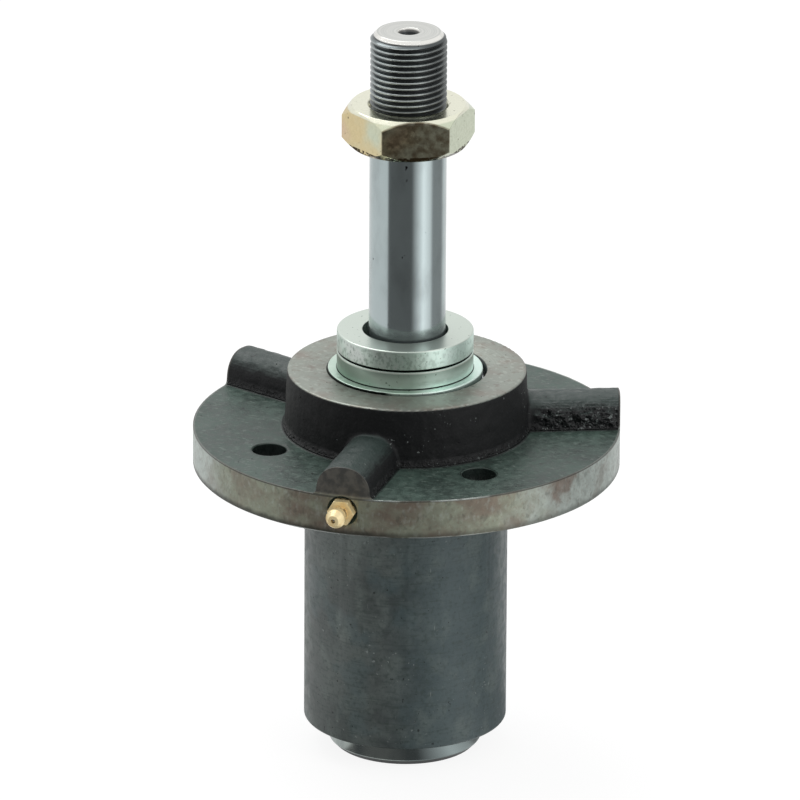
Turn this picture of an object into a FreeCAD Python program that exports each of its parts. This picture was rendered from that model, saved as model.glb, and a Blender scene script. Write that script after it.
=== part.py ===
import FreeCAD, Part
import math
import os

# Mower deck spindle: a cast housing carries an upright shaft on two ball bearings.
# Millimetres. The origin is the centre of the flange's underside, +Z runs up the shaft,
# and the rib with the grease fitting points along -Y.

# Housing casting
flange_diameter = 141.0
flange_thickness = 13.1
flange_bottom_bevel = 0.6
boss_top_diameter = 78.9
boss_height = 19.9
boss_draft = 0.9
boss_edge_round = 0.7
barrel_diameter = 67.2
barrel_length = 89.2
barrel_edge_round = 0.9
casting_fillet = 1.6

# Ribs on the flange: round on top, with drafted sides, ending level with its rim
rib_height = 10.4
rib_base_width = 18.6
rib_crown_width = 16.2
rear_rib_angle = 112.0

# Bolt holes for the deck
bolt_circle_diameter = 101.6
bolt_hole_diameter = 11.1
bolt_count = 4
bolt_hole_bevel = 0.4

# Shaft and its lower hub, turned in one piece
shaft_diameter = 25.4
shaft_rise = 150.4
shaft_end_chamfer = 2.2
journal_relief = 0.03
journal_lead = 0.8
thread_length = 39.6
thread_crest_relief = 0.1
thread_runout = 0.8
centre_mouth_diameter = 7.5
centre_pilot_diameter = 3.2
centre_pilot_depth = 4.5
centre_cone_angle = 60.0
hub_side_gap = 0.7
hub_drop = 9.3
hub_chamfer = 2.0
hub_entry = 1.4
blade_hole_diameter = 14.4
blade_hole_depth = 38.0
blade_hole_bevel = 0.8
drill_point_rise = 4.0

# Ball bearings, both alike
bearing_outside_diameter = 52.0
bearing_width = 15.0
bearing_edge_round = 0.8
ball_diameter = 7.94
ball_count = 9
race_gap = 5.2
ball_clearance = 0.2
seal_thickness = 1.2
seal_lip_gap = 0.15
seal_seat_step = 0.9
seal_set_back = 0.15
cage_thickness = 0.6
cage_side_gap = 1.0
rivet_diameter = 1.3
rivet_head_diameter = 2.2
rivet_head_height = 0.4
lower_bearing_recess = 2.6
shoulder_height = 3.5
sleeve_clearance = 0.3
sleeve_wall = 2.6

# Top stack: a dust shield that lies on the upper inner race, and a grooved collar on it.
# Both are loose on the shaft and lie a little off its axis.
shield_proud = 0.7
shield_thickness = 2.4
shield_foot_height = 1.2
shield_edge_round = 0.5
shield_under_bearing = 0.7
shield_running_gap = 0.35
collar_diameter = 45.1
collar_height = 13.3
collar_edge_chamfer = 0.5
collar_groove_height = 6.4
collar_groove_width = 1.1
collar_groove_depth = 0.8
collar_bore_gap = 1.4
collar_offset = 0.6
collar_offset_angle = 197.4

# Jam nut
nut_across_flats = 38.1
nut_height = 13.9
nut_chamfer_angle = 43.0
nut_face_ratio = 0.98
nut_countersink = 0.8
nut_turn = 24.6
nut_lift = 0.8

# Grease fitting, screwed into the rim under its rib, with a sprung check ball inside
fitting_height = 8.4
fitting_spot_diameter = 10.4
fitting_spot_depth = 1.5
fitting_thread_diameter = 6.35
fitting_thread_length = 6.0
fitting_hex = 7.94
fitting_hex_height = 3.6
fitting_neck_diameter = 4.9
fitting_neck_height = 3.2
fitting_head_diameter = 6.5
fitting_head_height = 4.6
fitting_nose_diameter = 3.6
fitting_head_land = 1.33
fitting_flare_round = 0.4
fitting_head_round = 0.8
fitting_nose_round = 0.5
fitting_hex_seat_round = 0.4
fitting_hex_top_round = 0.6
fitting_mouth_diameter = 1.5
fitting_mouth_length = 1.0
check_chamber_diameter = 2.9
check_ball_diameter = 2.4
check_ball_gap = 0.05
check_spring_wire = 0.3
check_spring_turns = 6
check_ledge_diameter = 1.8
grease_passage_diameter = 4.0

# Clearances shared by several fits
seat_clearance = 0.02
thread_clearance = 0.05
cutter_overrun = 3.0

# Places worked out from the sizes above
axis_up = FreeCAD.Vector(0, 0, 1)
origin = FreeCAD.Vector(0, 0, 0)
shortest_edge = 1e-6
corner_probe = 0.01
flange_radius = flange_diameter / 2
boss_top = flange_thickness + boss_height
hub_bottom = -barrel_length - hub_drop
shaft_radius = shaft_diameter / 2
bearing_radius = bearing_outside_diameter / 2
bearing_bore_radius = shaft_radius + seat_clearance
ball_radius = ball_diameter / 2
pitch_radius = (shaft_radius + bearing_radius) / 2
inner_shoulder_radius = pitch_radius - race_gap / 2
outer_shoulder_radius = pitch_radius + race_gap / 2
cavity_radius = bearing_radius - shoulder_height
shield_top = boss_top + shield_proud
shield_radius = bearing_radius - shield_under_bearing / 2
upper_bearing_top = shield_top - shield_thickness - shield_foot_height
upper_bearing_middle = upper_bearing_top - bearing_width / 2
lower_bearing_bottom = -barrel_length + lower_bearing_recess
lower_bearing_middle = lower_bearing_bottom + bearing_width / 2
collar_bore_radius = shaft_radius + collar_bore_gap
collar_top = shield_top + collar_height
journal_radius = shaft_radius - journal_relief
thread_bottom = shaft_rise - thread_length
thread_radius = shaft_radius - thread_crest_relief
nut_bottom = thread_bottom + nut_lift
fitting_seat = flange_radius - fitting_spot_depth


def outline(corners):
    """Closed wire in the XZ plane through (x, z, radius) corners, each rounded by its radius."""
    points = [FreeCAD.Vector(x, 0, z) for x, z, radius in corners]
    stretches = []
    for index, (x, z, radius) in enumerate(corners):
        corner = points[index]
        if radius == 0:
            stretches.append((corner, None, corner))
            continue
        back = (points[index - 1] - corner).normalize()
        ahead = (points[(index + 1) % len(points)] - corner).normalize()
        half_angle = back.getAngle(ahead) / 2
        tangent = radius / math.tan(half_angle)
        inward = (back + ahead).normalize()
        middle = corner + inward * (radius / math.sin(half_angle) - radius)
        stretches.append((corner + back * tangent, middle, corner + ahead * tangent))
    edges = []
    for index, (start, middle, end) in enumerate(stretches):
        if middle is not None:
            edges.append(Part.Arc(start, middle, end).toShape())
        following = stretches[(index + 1) % len(stretches)][0]
        if end.distanceToPoint(following) > shortest_edge:
            edges.append(Part.LineSegment(end, following).toShape())
    return Part.Wire(edges)


def turned(corners):
    """Solid of revolution about Z from an outline of (radius, height, corner radius)."""
    return Part.Face(outline(corners)).revolve(origin, axis_up, 360)


def cylinder(radius, bottom, top):
    """Upright cylinder on the Z axis."""
    return Part.makeCylinder(radius, top - bottom, FreeCAD.Vector(0, 0, bottom))


def hexagon(across_flats, bottom, top):
    """Upright hexagonal prism on the Z axis, with a flat facing -Y."""
    corner_radius = across_flats / math.sqrt(3)
    angles = [math.radians(60 * step) for step in range(7)]
    points = [FreeCAD.Vector(corner_radius * math.cos(a), corner_radius * math.sin(a), bottom) for a in angles]
    return Part.Face(Part.makePolygon(points)).extrude(FreeCAD.Vector(0, 0, top - bottom))


def turned_about_axis(shape, degrees):
    """Copy of a shape, turned about the shaft's axis."""
    copy = shape.copy()
    copy.rotate(origin, axis_up, degrees)
    return copy


def on_rim(shape):
    """Move a shape built upright on the origin to the grease fitting's place, pointing along -Y."""
    copy = shape.copy()
    copy.rotate(origin, FreeCAD.Vector(1, 0, 0), 90)
    copy.translate(FreeCAD.Vector(0, -fitting_seat, fitting_height))
    return copy


def off_axis(shape):
    """Move a loose ring sideways to where it lies on the shaft."""
    angle = math.radians(collar_offset_angle)
    copy = shape.copy()
    copy.translate(FreeCAD.Vector(math.cos(angle), math.sin(angle), 0) * collar_offset)
    return copy


def rib(degrees):
    """One rib, from the boss out to the flange's rim; 0 degrees is the grease fitting's rib."""
    crown = flange_thickness + rib_height
    buried = flange_thickness / 2
    half_base = rib_base_width / 2
    half_crown = rib_crown_width / 2
    section = outline([
        (-half_base, buried, 0),
        (-half_base, flange_thickness, 0),
        (-half_crown, crown, half_crown),
        (half_crown, crown, half_crown),
        (half_base, flange_thickness, 0),
        (half_base, buried, 0),
    ])
    bar = Part.Face(section).extrude(FreeCAD.Vector(0, -flange_diameter, 0))
    within_rim = cylinder(flange_radius, buried, crown + rib_height)
    return turned_about_axis(bar.common(within_rim), degrees)


def inside_corners(body, lowest):
    """Edges of a body, from a height upwards, where two faces meet in an inside corner."""
    corners = []
    for edge in body.Edges:
        middle = edge.valueAt((edge.FirstParameter + edge.LastParameter) / 2)
        faces = body.ancestorsOfType(edge, Part.Face)
        if middle.z < lowest - shortest_edge or len(faces) != 2:
            continue
        normals = [face.normalAt(*face.Surface.parameter(middle)) for face in faces]
        probe = middle + (normals[0] - normals[1]) * corner_probe
        if body.isInside(probe, shortest_edge, False):
            corners.append(edge)
    return corners


def housing():
    """Cast housing: flange, boss, barrel and ribs, with its bores, bolt holes and grease passage."""
    boss_top_radius = boss_top_diameter / 2
    barrel_radius = barrel_diameter / 2
    body = turned([
        (0, -barrel_length, 0),
        (barrel_radius, -barrel_length, barrel_edge_round),
        (barrel_radius, 0, 0),
        (flange_radius - flange_bottom_bevel, 0, 0),
        (flange_radius, flange_bottom_bevel, 0),
        (flange_radius, flange_thickness, 0),
        (boss_top_radius + boss_draft, flange_thickness, 0),
        (boss_top_radius, boss_top, boss_edge_round),
        (0, boss_top, 0),
    ])
    for degrees in (0, rear_rib_angle, -rear_rib_angle):
        body = body.fuse(rib(degrees))
    body = body.removeSplitter()
    body = body.makeFillet(casting_fillet, inside_corners(body, flange_thickness))
    return body.cut(housing_bore()).cut(bolt_holes()).cut(grease_passage())


def housing_bore():
    """Space inside the housing: both bearing seats, the shield's recess and the grease cavity."""
    recess_radius = shield_radius + collar_offset + shield_running_gap
    seat_radius = bearing_radius + seat_clearance
    recess_bottom = upper_bearing_top + seal_set_back
    upper_shoulder = upper_bearing_top - bearing_width
    lower_shoulder = lower_bearing_bottom + bearing_width
    return turned([
        (0, -barrel_length, 0),
        (seat_radius, -barrel_length, 0),
        (seat_radius, lower_shoulder, 0),
        (cavity_radius, lower_shoulder, 0),
        (cavity_radius, upper_shoulder, 0),
        (seat_radius, upper_shoulder, 0),
        (seat_radius, recess_bottom, 0),
        (recess_radius, recess_bottom, 0),
        (recess_radius, boss_top, 0),
        (0, boss_top, 0),
    ])


def bolt_holes():
    """Cutters for the deck bolt holes, bevelled at the flange's top."""
    radius = bolt_hole_diameter / 2
    hole = turned([
        (0, 0, 0),
        (radius, 0, 0),
        (radius, flange_thickness - bolt_hole_bevel, 0),
        (radius + bolt_hole_bevel, flange_thickness, 0),
        (radius + bolt_hole_bevel, flange_thickness + rib_height, 0),
        (0, flange_thickness + rib_height, 0),
    ])
    hole.translate(FreeCAD.Vector(0, -bolt_circle_diameter / 2, 0))
    pitch = 360 / bolt_count
    return Part.Compound([turned_about_axis(hole, pitch * (step + 0.5)) for step in range(bolt_count)])


def grease_passage():
    """Cutter for the fitting's spot face, its threaded hole and the drilling to the cavity."""
    thread_radius_in_rim = fitting_thread_diameter / 2 + seat_clearance
    passage_radius = grease_passage_diameter / 2
    spot_radius = fitting_spot_diameter / 2
    inner_end = cavity_radius - passage_radius - fitting_seat
    cutter = turned([
        (0, inner_end, 0),
        (passage_radius, inner_end, 0),
        (passage_radius, -fitting_thread_length, 0),
        (thread_radius_in_rim, -fitting_thread_length, 0),
        (thread_radius_in_rim, 0, 0),
        (spot_radius, 0, 0),
        (spot_radius, fitting_spot_depth + cutter_overrun, 0),
        (0, fitting_spot_depth + cutter_overrun, 0),
    ])
    return on_rim(cutter)


def shaft():
    """Shaft with its lower hub, the threaded end and the tapped hole for the blade bolt."""
    hub_radius = bearing_radius - hub_side_gap
    hub_top = -barrel_length + hub_entry
    body = turned([
        (0, hub_bottom, 0),
        (hub_radius - hub_chamfer, hub_bottom, 0),
        (hub_radius, hub_bottom + hub_chamfer, 0),
        (hub_radius, hub_top, 0),
        (inner_shoulder_radius, hub_top, 0),
        (inner_shoulder_radius, lower_bearing_bottom, 0),
        (shaft_radius, lower_bearing_bottom, 0),
        (shaft_radius, collar_top - journal_lead, 0),
        (journal_radius, collar_top, 0),
        (journal_radius, thread_bottom - thread_runout, 0),
        (thread_radius, thread_bottom, 0),
        (thread_radius, shaft_rise - shaft_end_chamfer, 0),
        (thread_radius - shaft_end_chamfer, shaft_rise, 0),
        (0, shaft_rise, 0),
    ])
    return body.cut(blade_hole()).cut(centre_hole())


def blade_hole():
    """Cutter for the tapped hole in the hub, at its thread's inner diameter."""
    radius = blade_hole_diameter / 2
    return turned([
        (0, hub_bottom, 0),
        (radius + blade_hole_bevel, hub_bottom, 0),
        (radius, hub_bottom + blade_hole_bevel, 0),
        (radius, hub_bottom + blade_hole_depth, 0),
        (0, hub_bottom + blade_hole_depth + drill_point_rise, 0),
    ])


def centre_hole():
    """Cutter for the lathe centre in the shaft's top, with its countersink."""
    mouth = centre_mouth_diameter / 2
    pilot = centre_pilot_diameter / 2
    cone_depth = (mouth - pilot) / math.tan(math.radians(centre_cone_angle / 2))
    return turned([
        (0, shaft_rise, 0),
        (mouth, shaft_rise, 0),
        (pilot, shaft_rise - cone_depth, 0),
        (pilot, shaft_rise - cone_depth - centre_pilot_depth, 0),
        (0, shaft_rise - cone_depth - centre_pilot_depth - pilot, 0),
    ])


def nut():
    """Hexagonal jam nut, chamfered on both faces, at the foot of the shaft's thread."""
    nut_top = nut_bottom + nut_height
    face_radius = nut_across_flats / 2 * nut_face_ratio
    outer_radius = nut_across_flats / math.sqrt(3) + cutter_overrun
    drop = (outer_radius - face_radius) * math.tan(math.radians(nut_chamfer_angle))
    bore_radius = thread_radius + thread_clearance
    envelope = turned([
        (bore_radius + nut_countersink, nut_bottom, 0),
        (face_radius, nut_bottom, 0),
        (outer_radius, nut_bottom + drop, 0),
        (outer_radius, nut_top - drop, 0),
        (face_radius, nut_top, 0),
        (bore_radius + nut_countersink, nut_top, 0),
        (bore_radius, nut_top - nut_countersink, 0),
        (bore_radius, nut_bottom + nut_countersink, 0),
    ])
    return turned_about_axis(hexagon(nut_across_flats, nut_bottom, nut_top).common(envelope), nut_turn)


def dust_shield():
    """Dust shield: a flat ring with a foot that stands on the upper bearing's inner race."""
    plate_bottom = shield_top - shield_thickness
    foot_radius = inner_shoulder_radius - collar_offset
    return off_axis(turned([
        (collar_bore_radius, upper_bearing_top, 0),
        (foot_radius, upper_bearing_top, 0),
        (foot_radius, plate_bottom, 0),
        (shield_radius, plate_bottom, 0),
        (shield_radius, shield_top, shield_edge_round),
        (collar_bore_radius, shield_top, 0),
    ]))


def collar():
    """Collar on the dust shield, with a V groove round its side."""
    radius = collar_diameter / 2
    groove = shield_top + collar_groove_height
    half_width = collar_groove_width / 2
    return off_axis(turned([
        (collar_bore_radius, shield_top, 0),
        (radius, shield_top, 0),
        (radius, groove - half_width, 0),
        (radius - collar_groove_depth, groove, 0),
        (radius, groove + half_width, 0),
        (radius, collar_top - collar_edge_chamfer, 0),
        (radius - collar_edge_chamfer, collar_top, 0),
        (collar_bore_radius, collar_top, 0),
    ]))


def spacer_sleeve():
    """Sleeve on the shaft that keeps the two inner races apart."""
    bore = shaft_radius + sleeve_clearance
    return turned([
        (bore, lower_bearing_bottom + bearing_width, 0),
        (bore + sleeve_wall, lower_bearing_bottom + bearing_width, 0),
        (bore + sleeve_wall, upper_bearing_top - bearing_width, 0),
        (bore, upper_bearing_top - bearing_width, 0),
    ])


def ball_track():
    """Ring with a round section that cuts the ball grooves of a bearing centred on the origin."""
    return Part.makeTorus(pitch_radius, ball_radius + ball_clearance)


def inner_race():
    """Inner race of a bearing centred on the origin."""
    half = bearing_width / 2
    ring = turned([
        (bearing_bore_radius, -half, 0),
        (inner_shoulder_radius, -half, 0),
        (inner_shoulder_radius, half, 0),
        (bearing_bore_radius, half, 0),
    ])
    return ring.cut(ball_track())


def outer_race():
    """Outer race of a bearing centred on the origin, with the seal's seat on its upper side."""
    half = bearing_width / 2
    seat_bottom = half - seal_set_back - seal_thickness
    ring = turned([
        (outer_shoulder_radius, -half, 0),
        (bearing_radius, -half, bearing_edge_round),
        (bearing_radius, half, bearing_edge_round),
        (outer_shoulder_radius + seal_seat_step, half, 0),
        (outer_shoulder_radius + seal_seat_step, seat_bottom, 0),
        (outer_shoulder_radius, seat_bottom, 0),
    ])
    return ring.cut(ball_track())


def bearing_seal():
    """Rubber seal on the upper side of a bearing centred on the origin."""
    top = bearing_width / 2 - seal_set_back
    inner = inner_shoulder_radius + seal_lip_gap
    outer = outer_shoulder_radius + seal_seat_step - seat_clearance
    return turned([
        (inner, top - seal_thickness, 0),
        (outer, top - seal_thickness, 0),
        (outer, top, 0),
        (inner, top, 0),
    ])


def ball_places(phase):
    """Places round the pitch circle, one for each ball, shifted by a part of the ball spacing."""
    angles = [2 * math.pi * (step + phase) / ball_count for step in range(ball_count)]
    return [FreeCAD.Vector(pitch_radius * math.cos(a), pitch_radius * math.sin(a), 0) for a in angles]


def bearing_balls():
    """Balls of a bearing centred on the origin."""
    return Part.Compound([Part.makeSphere(ball_radius, place) for place in ball_places(0)])


def cage_half():
    """Upper half of the pressed cage of a bearing centred on the origin."""
    inner = inner_shoulder_radius + cage_side_gap
    outer = outer_shoulder_radius - cage_side_gap
    pocket_radius = ball_radius + ball_clearance
    reach = pocket_radius + cage_thickness
    band = cylinder(outer, 0, reach).cut(cylinder(inner, 0, reach))
    half = cylinder(outer, 0, cage_thickness).cut(cylinder(inner, 0, cage_thickness))
    for place in ball_places(0):
        half = half.fuse(Part.makeSphere(reach, place).common(band))
    pockets = Part.Compound([Part.makeSphere(pocket_radius, place) for place in ball_places(0)])
    rivet_holes = Part.Compound([
        Part.makeCylinder(rivet_diameter / 2 + seat_clearance, cage_thickness, place)
        for place in ball_places(0.5)
    ])
    return half.cut(pockets).cut(rivet_holes).removeSplitter()


def cage_rivets():
    """Rivets that hold the two halves of the cage together."""
    head_radius = rivet_head_diameter / 2
    top = cage_thickness + rivet_head_height
    rivet = turned([
        (0, -top, 0),
        (head_radius, -top, 0),
        (head_radius, -cage_thickness, 0),
        (rivet_diameter / 2, -cage_thickness, 0),
        (rivet_diameter / 2, cage_thickness, 0),
        (head_radius, cage_thickness, 0),
        (head_radius, top, 0),
        (0, top, 0),
    ])
    rivets = []
    for place in ball_places(0.5):
        copy = rivet.copy()
        copy.translate(place)
        rivets.append(copy)
    return Part.Compound(rivets)


def upside_down(shape):
    """Copy of a shape, turned over about the X axis."""
    copy = shape.copy()
    copy.rotate(origin, FreeCAD.Vector(1, 0, 0), 180)
    return copy


def bearing():
    """Pieces of one bearing centred on the origin, with its seal on the upper side."""
    return {
        "outer_race": outer_race(),
        "inner_race": inner_race(),
        "balls": bearing_balls(),
        "cage_outer_half": cage_half(),
        "cage_inner_half": upside_down(cage_half()),
        "cage_rivets": cage_rivets(),
        "seal": bearing_seal(),
    }


def fitting_heights():
    """Heights along the fitting, from its seat outwards: hex top, neck top, head top."""
    neck_top = fitting_hex_height + fitting_neck_height
    return fitting_hex_height, neck_top, neck_top + fitting_head_height


def check_seat_height():
    """Height along the fitting where the mouth opens into the check ball's cone."""
    return fitting_heights()[2] - fitting_mouth_length


def check_ball_height():
    """Height along the fitting of the check ball's centre, just clear of its 45 degree seat."""
    apex = check_seat_height() + fitting_mouth_diameter / 2
    return apex - (check_ball_diameter / 2 + check_ball_gap) * math.sqrt(2)


def grease_fitting():
    """Body of the grease fitting: threaded shank, hexagon, neck and rounded head, drilled through."""
    hex_top, neck_top, head_top = fitting_heights()
    shank = fitting_thread_diameter / 2
    neck = fitting_neck_diameter / 2
    head = fitting_head_diameter / 2
    nose = fitting_nose_diameter / 2
    flare_top = neck_top + (head - neck)
    body = turned([
        (0, -fitting_thread_length, 0),
        (shank, -fitting_thread_length, 0),
        (shank, hex_top / 2, 0),
        (neck, hex_top / 2, 0),
        (neck, neck_top, 0),
        (head, flare_top, fitting_flare_round),
        (head, flare_top + fitting_head_land, fitting_head_round),
        (nose, head_top, fitting_nose_round),
        (0, head_top, 0),
    ])
    corner_round = turned([
        (0, 0, 0),
        (fitting_hex / math.sqrt(3), 0, fitting_hex_seat_round),
        (fitting_hex / math.sqrt(3), hex_top, fitting_hex_top_round),
        (0, hex_top, 0),
    ])
    body = body.fuse(hexagon(fitting_hex, 0, hex_top).common(corner_round))
    return on_rim(body.cut(fitting_drilling()))


def fitting_drilling():
    """Cutter for the way through the fitting: mouth, ball seat, chamber and outlet."""
    mouth = fitting_mouth_diameter / 2
    chamber = check_chamber_diameter / 2
    ledge = check_ledge_diameter / 2
    head_top = fitting_heights()[2]
    seat = check_seat_height()
    return turned([
        (0, -fitting_thread_length, 0),
        (ledge, -fitting_thread_length, 0),
        (ledge, check_spring_bottom(), 0),
        (chamber, check_spring_bottom(), 0),
        (chamber, seat - (chamber - mouth), 0),
        (mouth, seat, 0),
        (mouth, head_top, 0),
        (0, head_top, 0),
    ])


def check_spring_bottom():
    """Height along the fitting of the ledge that the check spring stands on."""
    return fitting_hex_height / 2


def check_ball():
    """Check ball behind the fitting's mouth."""
    return on_rim(Part.makeSphere(check_ball_diameter / 2, FreeCAD.Vector(0, 0, check_ball_height())))


def check_spring():
    """Coil spring between the fitting's ledge and the check ball."""
    wire_radius = check_spring_wire / 2
    coil_radius = check_ball_diameter / 2 - wire_radius
    bottom = check_spring_bottom() + wire_radius
    ball_contact = math.sqrt((check_ball_diameter / 2 + wire_radius) ** 2 - coil_radius ** 2)
    top = check_ball_height() - ball_contact - check_ball_gap
    helix = Part.makeHelix((top - bottom) / check_spring_turns, top - bottom, coil_radius)
    section = Part.Wire(Part.makeCircle(wire_radius, FreeCAD.Vector(coil_radius, 0, 0), FreeCAD.Vector(0, 1, 0)))
    spring = Part.Wire(helix).makePipeShell([section], True, True)
    spring.translate(FreeCAD.Vector(0, 0, bottom))
    return on_rim(spring)


def bearings():
    """Both bearings' pieces by node name; each bearing has its seal on the outside."""
    pieces = {}
    for name, shape in bearing().items():
        upper = shape.copy()
        upper.translate(FreeCAD.Vector(0, 0, upper_bearing_middle))
        pieces["upper_" + name] = upper
        lower = upside_down(shape)
        lower.translate(FreeCAD.Vector(0, 0, lower_bearing_middle))
        pieces["lower_" + name] = lower
    return pieces


def main():
    """Build every piece and write one STEP file for each."""
    pieces = {
        "spindle_housing": housing(),
        "spindle_shaft": shaft(),
        "jam_nut": nut(),
        "grooved_collar": collar(),
        "dust_shield": dust_shield(),
        "spacer_sleeve": spacer_sleeve(),
        "grease_fitting": grease_fitting(),
        "check_ball": check_ball(),
        "check_spring": check_spring(),
    }
    pieces.update(bearings())
    os.makedirs("parts", exist_ok=True)
    for name, shape in pieces.items():
        shape.exportStep("parts/" + name + ".step")


main()
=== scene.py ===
"""Looks of a mower deck spindle: cast housing, ground shaft, collar, jam nut and grease fitting.

Pieces are in metres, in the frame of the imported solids: the origin is the centre of the flange's
underside, +Z runs up the shaft and the grease fitting points along -Y. The sizes that the classes
hold are in millimetres, and go through MM where a mesh is made.
"""

import logging
import math
from dataclasses import dataclass, field
from enum import Enum

import bmesh
import bpy
from mathutils import Matrix, Vector, noise


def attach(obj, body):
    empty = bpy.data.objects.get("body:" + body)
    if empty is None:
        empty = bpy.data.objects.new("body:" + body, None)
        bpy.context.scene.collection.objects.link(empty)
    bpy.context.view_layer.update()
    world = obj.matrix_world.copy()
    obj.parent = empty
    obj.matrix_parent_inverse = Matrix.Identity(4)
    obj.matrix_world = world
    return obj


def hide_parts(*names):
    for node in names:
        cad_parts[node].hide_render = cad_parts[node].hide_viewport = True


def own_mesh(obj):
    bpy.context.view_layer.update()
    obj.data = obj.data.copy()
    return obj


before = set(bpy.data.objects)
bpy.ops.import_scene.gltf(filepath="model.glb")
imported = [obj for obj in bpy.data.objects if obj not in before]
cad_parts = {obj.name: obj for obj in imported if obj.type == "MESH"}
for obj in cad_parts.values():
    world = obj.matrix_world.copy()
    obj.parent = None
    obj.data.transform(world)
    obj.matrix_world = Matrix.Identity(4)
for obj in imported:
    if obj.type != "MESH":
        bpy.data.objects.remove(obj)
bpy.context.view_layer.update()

LOG = logging.getLogger("spindle")
MM = 0.001
WELD = 1e-6
FLANGE_RADIUS = 70.5
FLANGE_TOP = 13.1
BOSS_TOP = 33.0
COLLAR_TOP = 47.0
THREAD_BOTTOM = 110.8
SHAFT_RISE = 150.4
Socket = bpy.types.NodeSocket
Material = bpy.types.Material
Piece = bpy.types.Object
BMesh = bmesh.types.BMesh
Triple = tuple[float, float, float]
Colour = Triple
Span = tuple[float, float]


class Body(Enum):
    """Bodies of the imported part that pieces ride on."""

    HOUSING = "housing"
    SHAFT = "shaft"
    NUT = "nut"


class Slot(Enum):
    """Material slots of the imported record."""

    CAST_HOUSING = "cast_housing"
    GROUND_STEEL = "ground_steel"
    YELLOW_ZINC = "yellow_zinc"
    CLEAR_ZINC = "clear_zinc"
    FITTING_BRASS = "fitting_brass"
    SPRING_STEEL = "spring_steel"


def linear(red: float, green: float, blue: float) -> Colour:
    """Turn a screen colour, from 0 to 255, into a linear one, from 0 to 1."""
    shares = [value / 255 for value in (red, green, blue)]
    return tuple(s / 12.92 if s < 0.04045 else ((s + 0.055) / 1.055) ** 2.4 for s in shares)


def portion(value: float, full: float) -> float:
    """How much of a full measure a value reaches, from 0 to 1."""
    return min(1.0, max(0.0, value / full))


class NodeTree:
    """A node tree, and short ways to add nodes to it."""

    def __init__(self, tree: bpy.types.NodeTree) -> None:
        """Take the tree that is filled."""
        self.tree = tree

    def join(self, value: object, socket: Socket) -> None:
        """Link a socket, or set a plain value, on an input socket."""
        if isinstance(value, bpy.types.NodeSocket):
            self.tree.links.new(value, socket)
        elif isinstance(value, tuple) and socket.type == "RGBA":
            socket.default_value = (*value, 1.0)
        else:
            socket.default_value = value

    def add(self, kind: str, **links: object) -> bpy.types.Node:
        """Add a node, and link or set inputs by their names, with _ for a space."""
        node = self.tree.nodes.new(kind)
        for name, value in links.items():
            self.join(value, node.inputs[name.replace("_", " ")])
        return node

    def chain(self, kind: str, *values: object) -> Socket:
        """Add a node, link or set its first inputs in order, and give its first output."""
        node = self.tree.nodes.new(kind)
        for value, socket in zip(values, node.inputs):
            self.join(value, socket)
        return node.outputs[0]

    def sum(self, operation: str, a: object, b: object = 0.0) -> Socket:
        """Number maths, by the operation's name, on sockets or plain numbers."""
        node = self.tree.nodes.new("ShaderNodeMath")
        node.operation = operation
        self.join(a, node.inputs[0])
        self.join(b, node.inputs[1])
        return node.outputs[0]

    def fold(self, operation: str, values: tuple[object, ...]) -> Socket:
        """Number maths on several values, from the first to the last."""
        result = values[0]
        for value in values[1:]:
            result = self.sum(operation, result, value)
        return result

    def both(self, *shares: object) -> Socket:
        """Product of several shares."""
        return self.fold("MULTIPLY", shares)

    def most(self, *shares: object) -> Socket:
        """Largest of several shares."""
        return self.fold("MAXIMUM", shares)

    def blend(self, share: object, a: object, b: object) -> Socket:
        """Mix two numbers, with share saying how much of b counts."""
        node = self.tree.nodes.new("ShaderNodeMix")
        self.join(share, node.inputs[0])
        self.join(a, node.inputs[2])
        self.join(b, node.inputs[3])
        return node.outputs[0]


@dataclass(frozen=True)
class Pattern:
    """Patches where noise passes from low, which gives 0, to high, which gives 1.

    The noise has so many waves in a millimetre, octaves of finer detail, a seed that makes it unlike
    the next, and a stretch of factors on the axes, over 1 for shorter waves.
    """

    per_mm: float
    detail: float
    seed: float
    low: float
    high: float
    stretch: Triple = (1, 1, 1)


@dataclass(frozen=True)
class Stain:
    """A tint that shows in the patches of a pattern, at a share of its strength."""

    tint: Colour
    share: float
    pattern: Pattern


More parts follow.
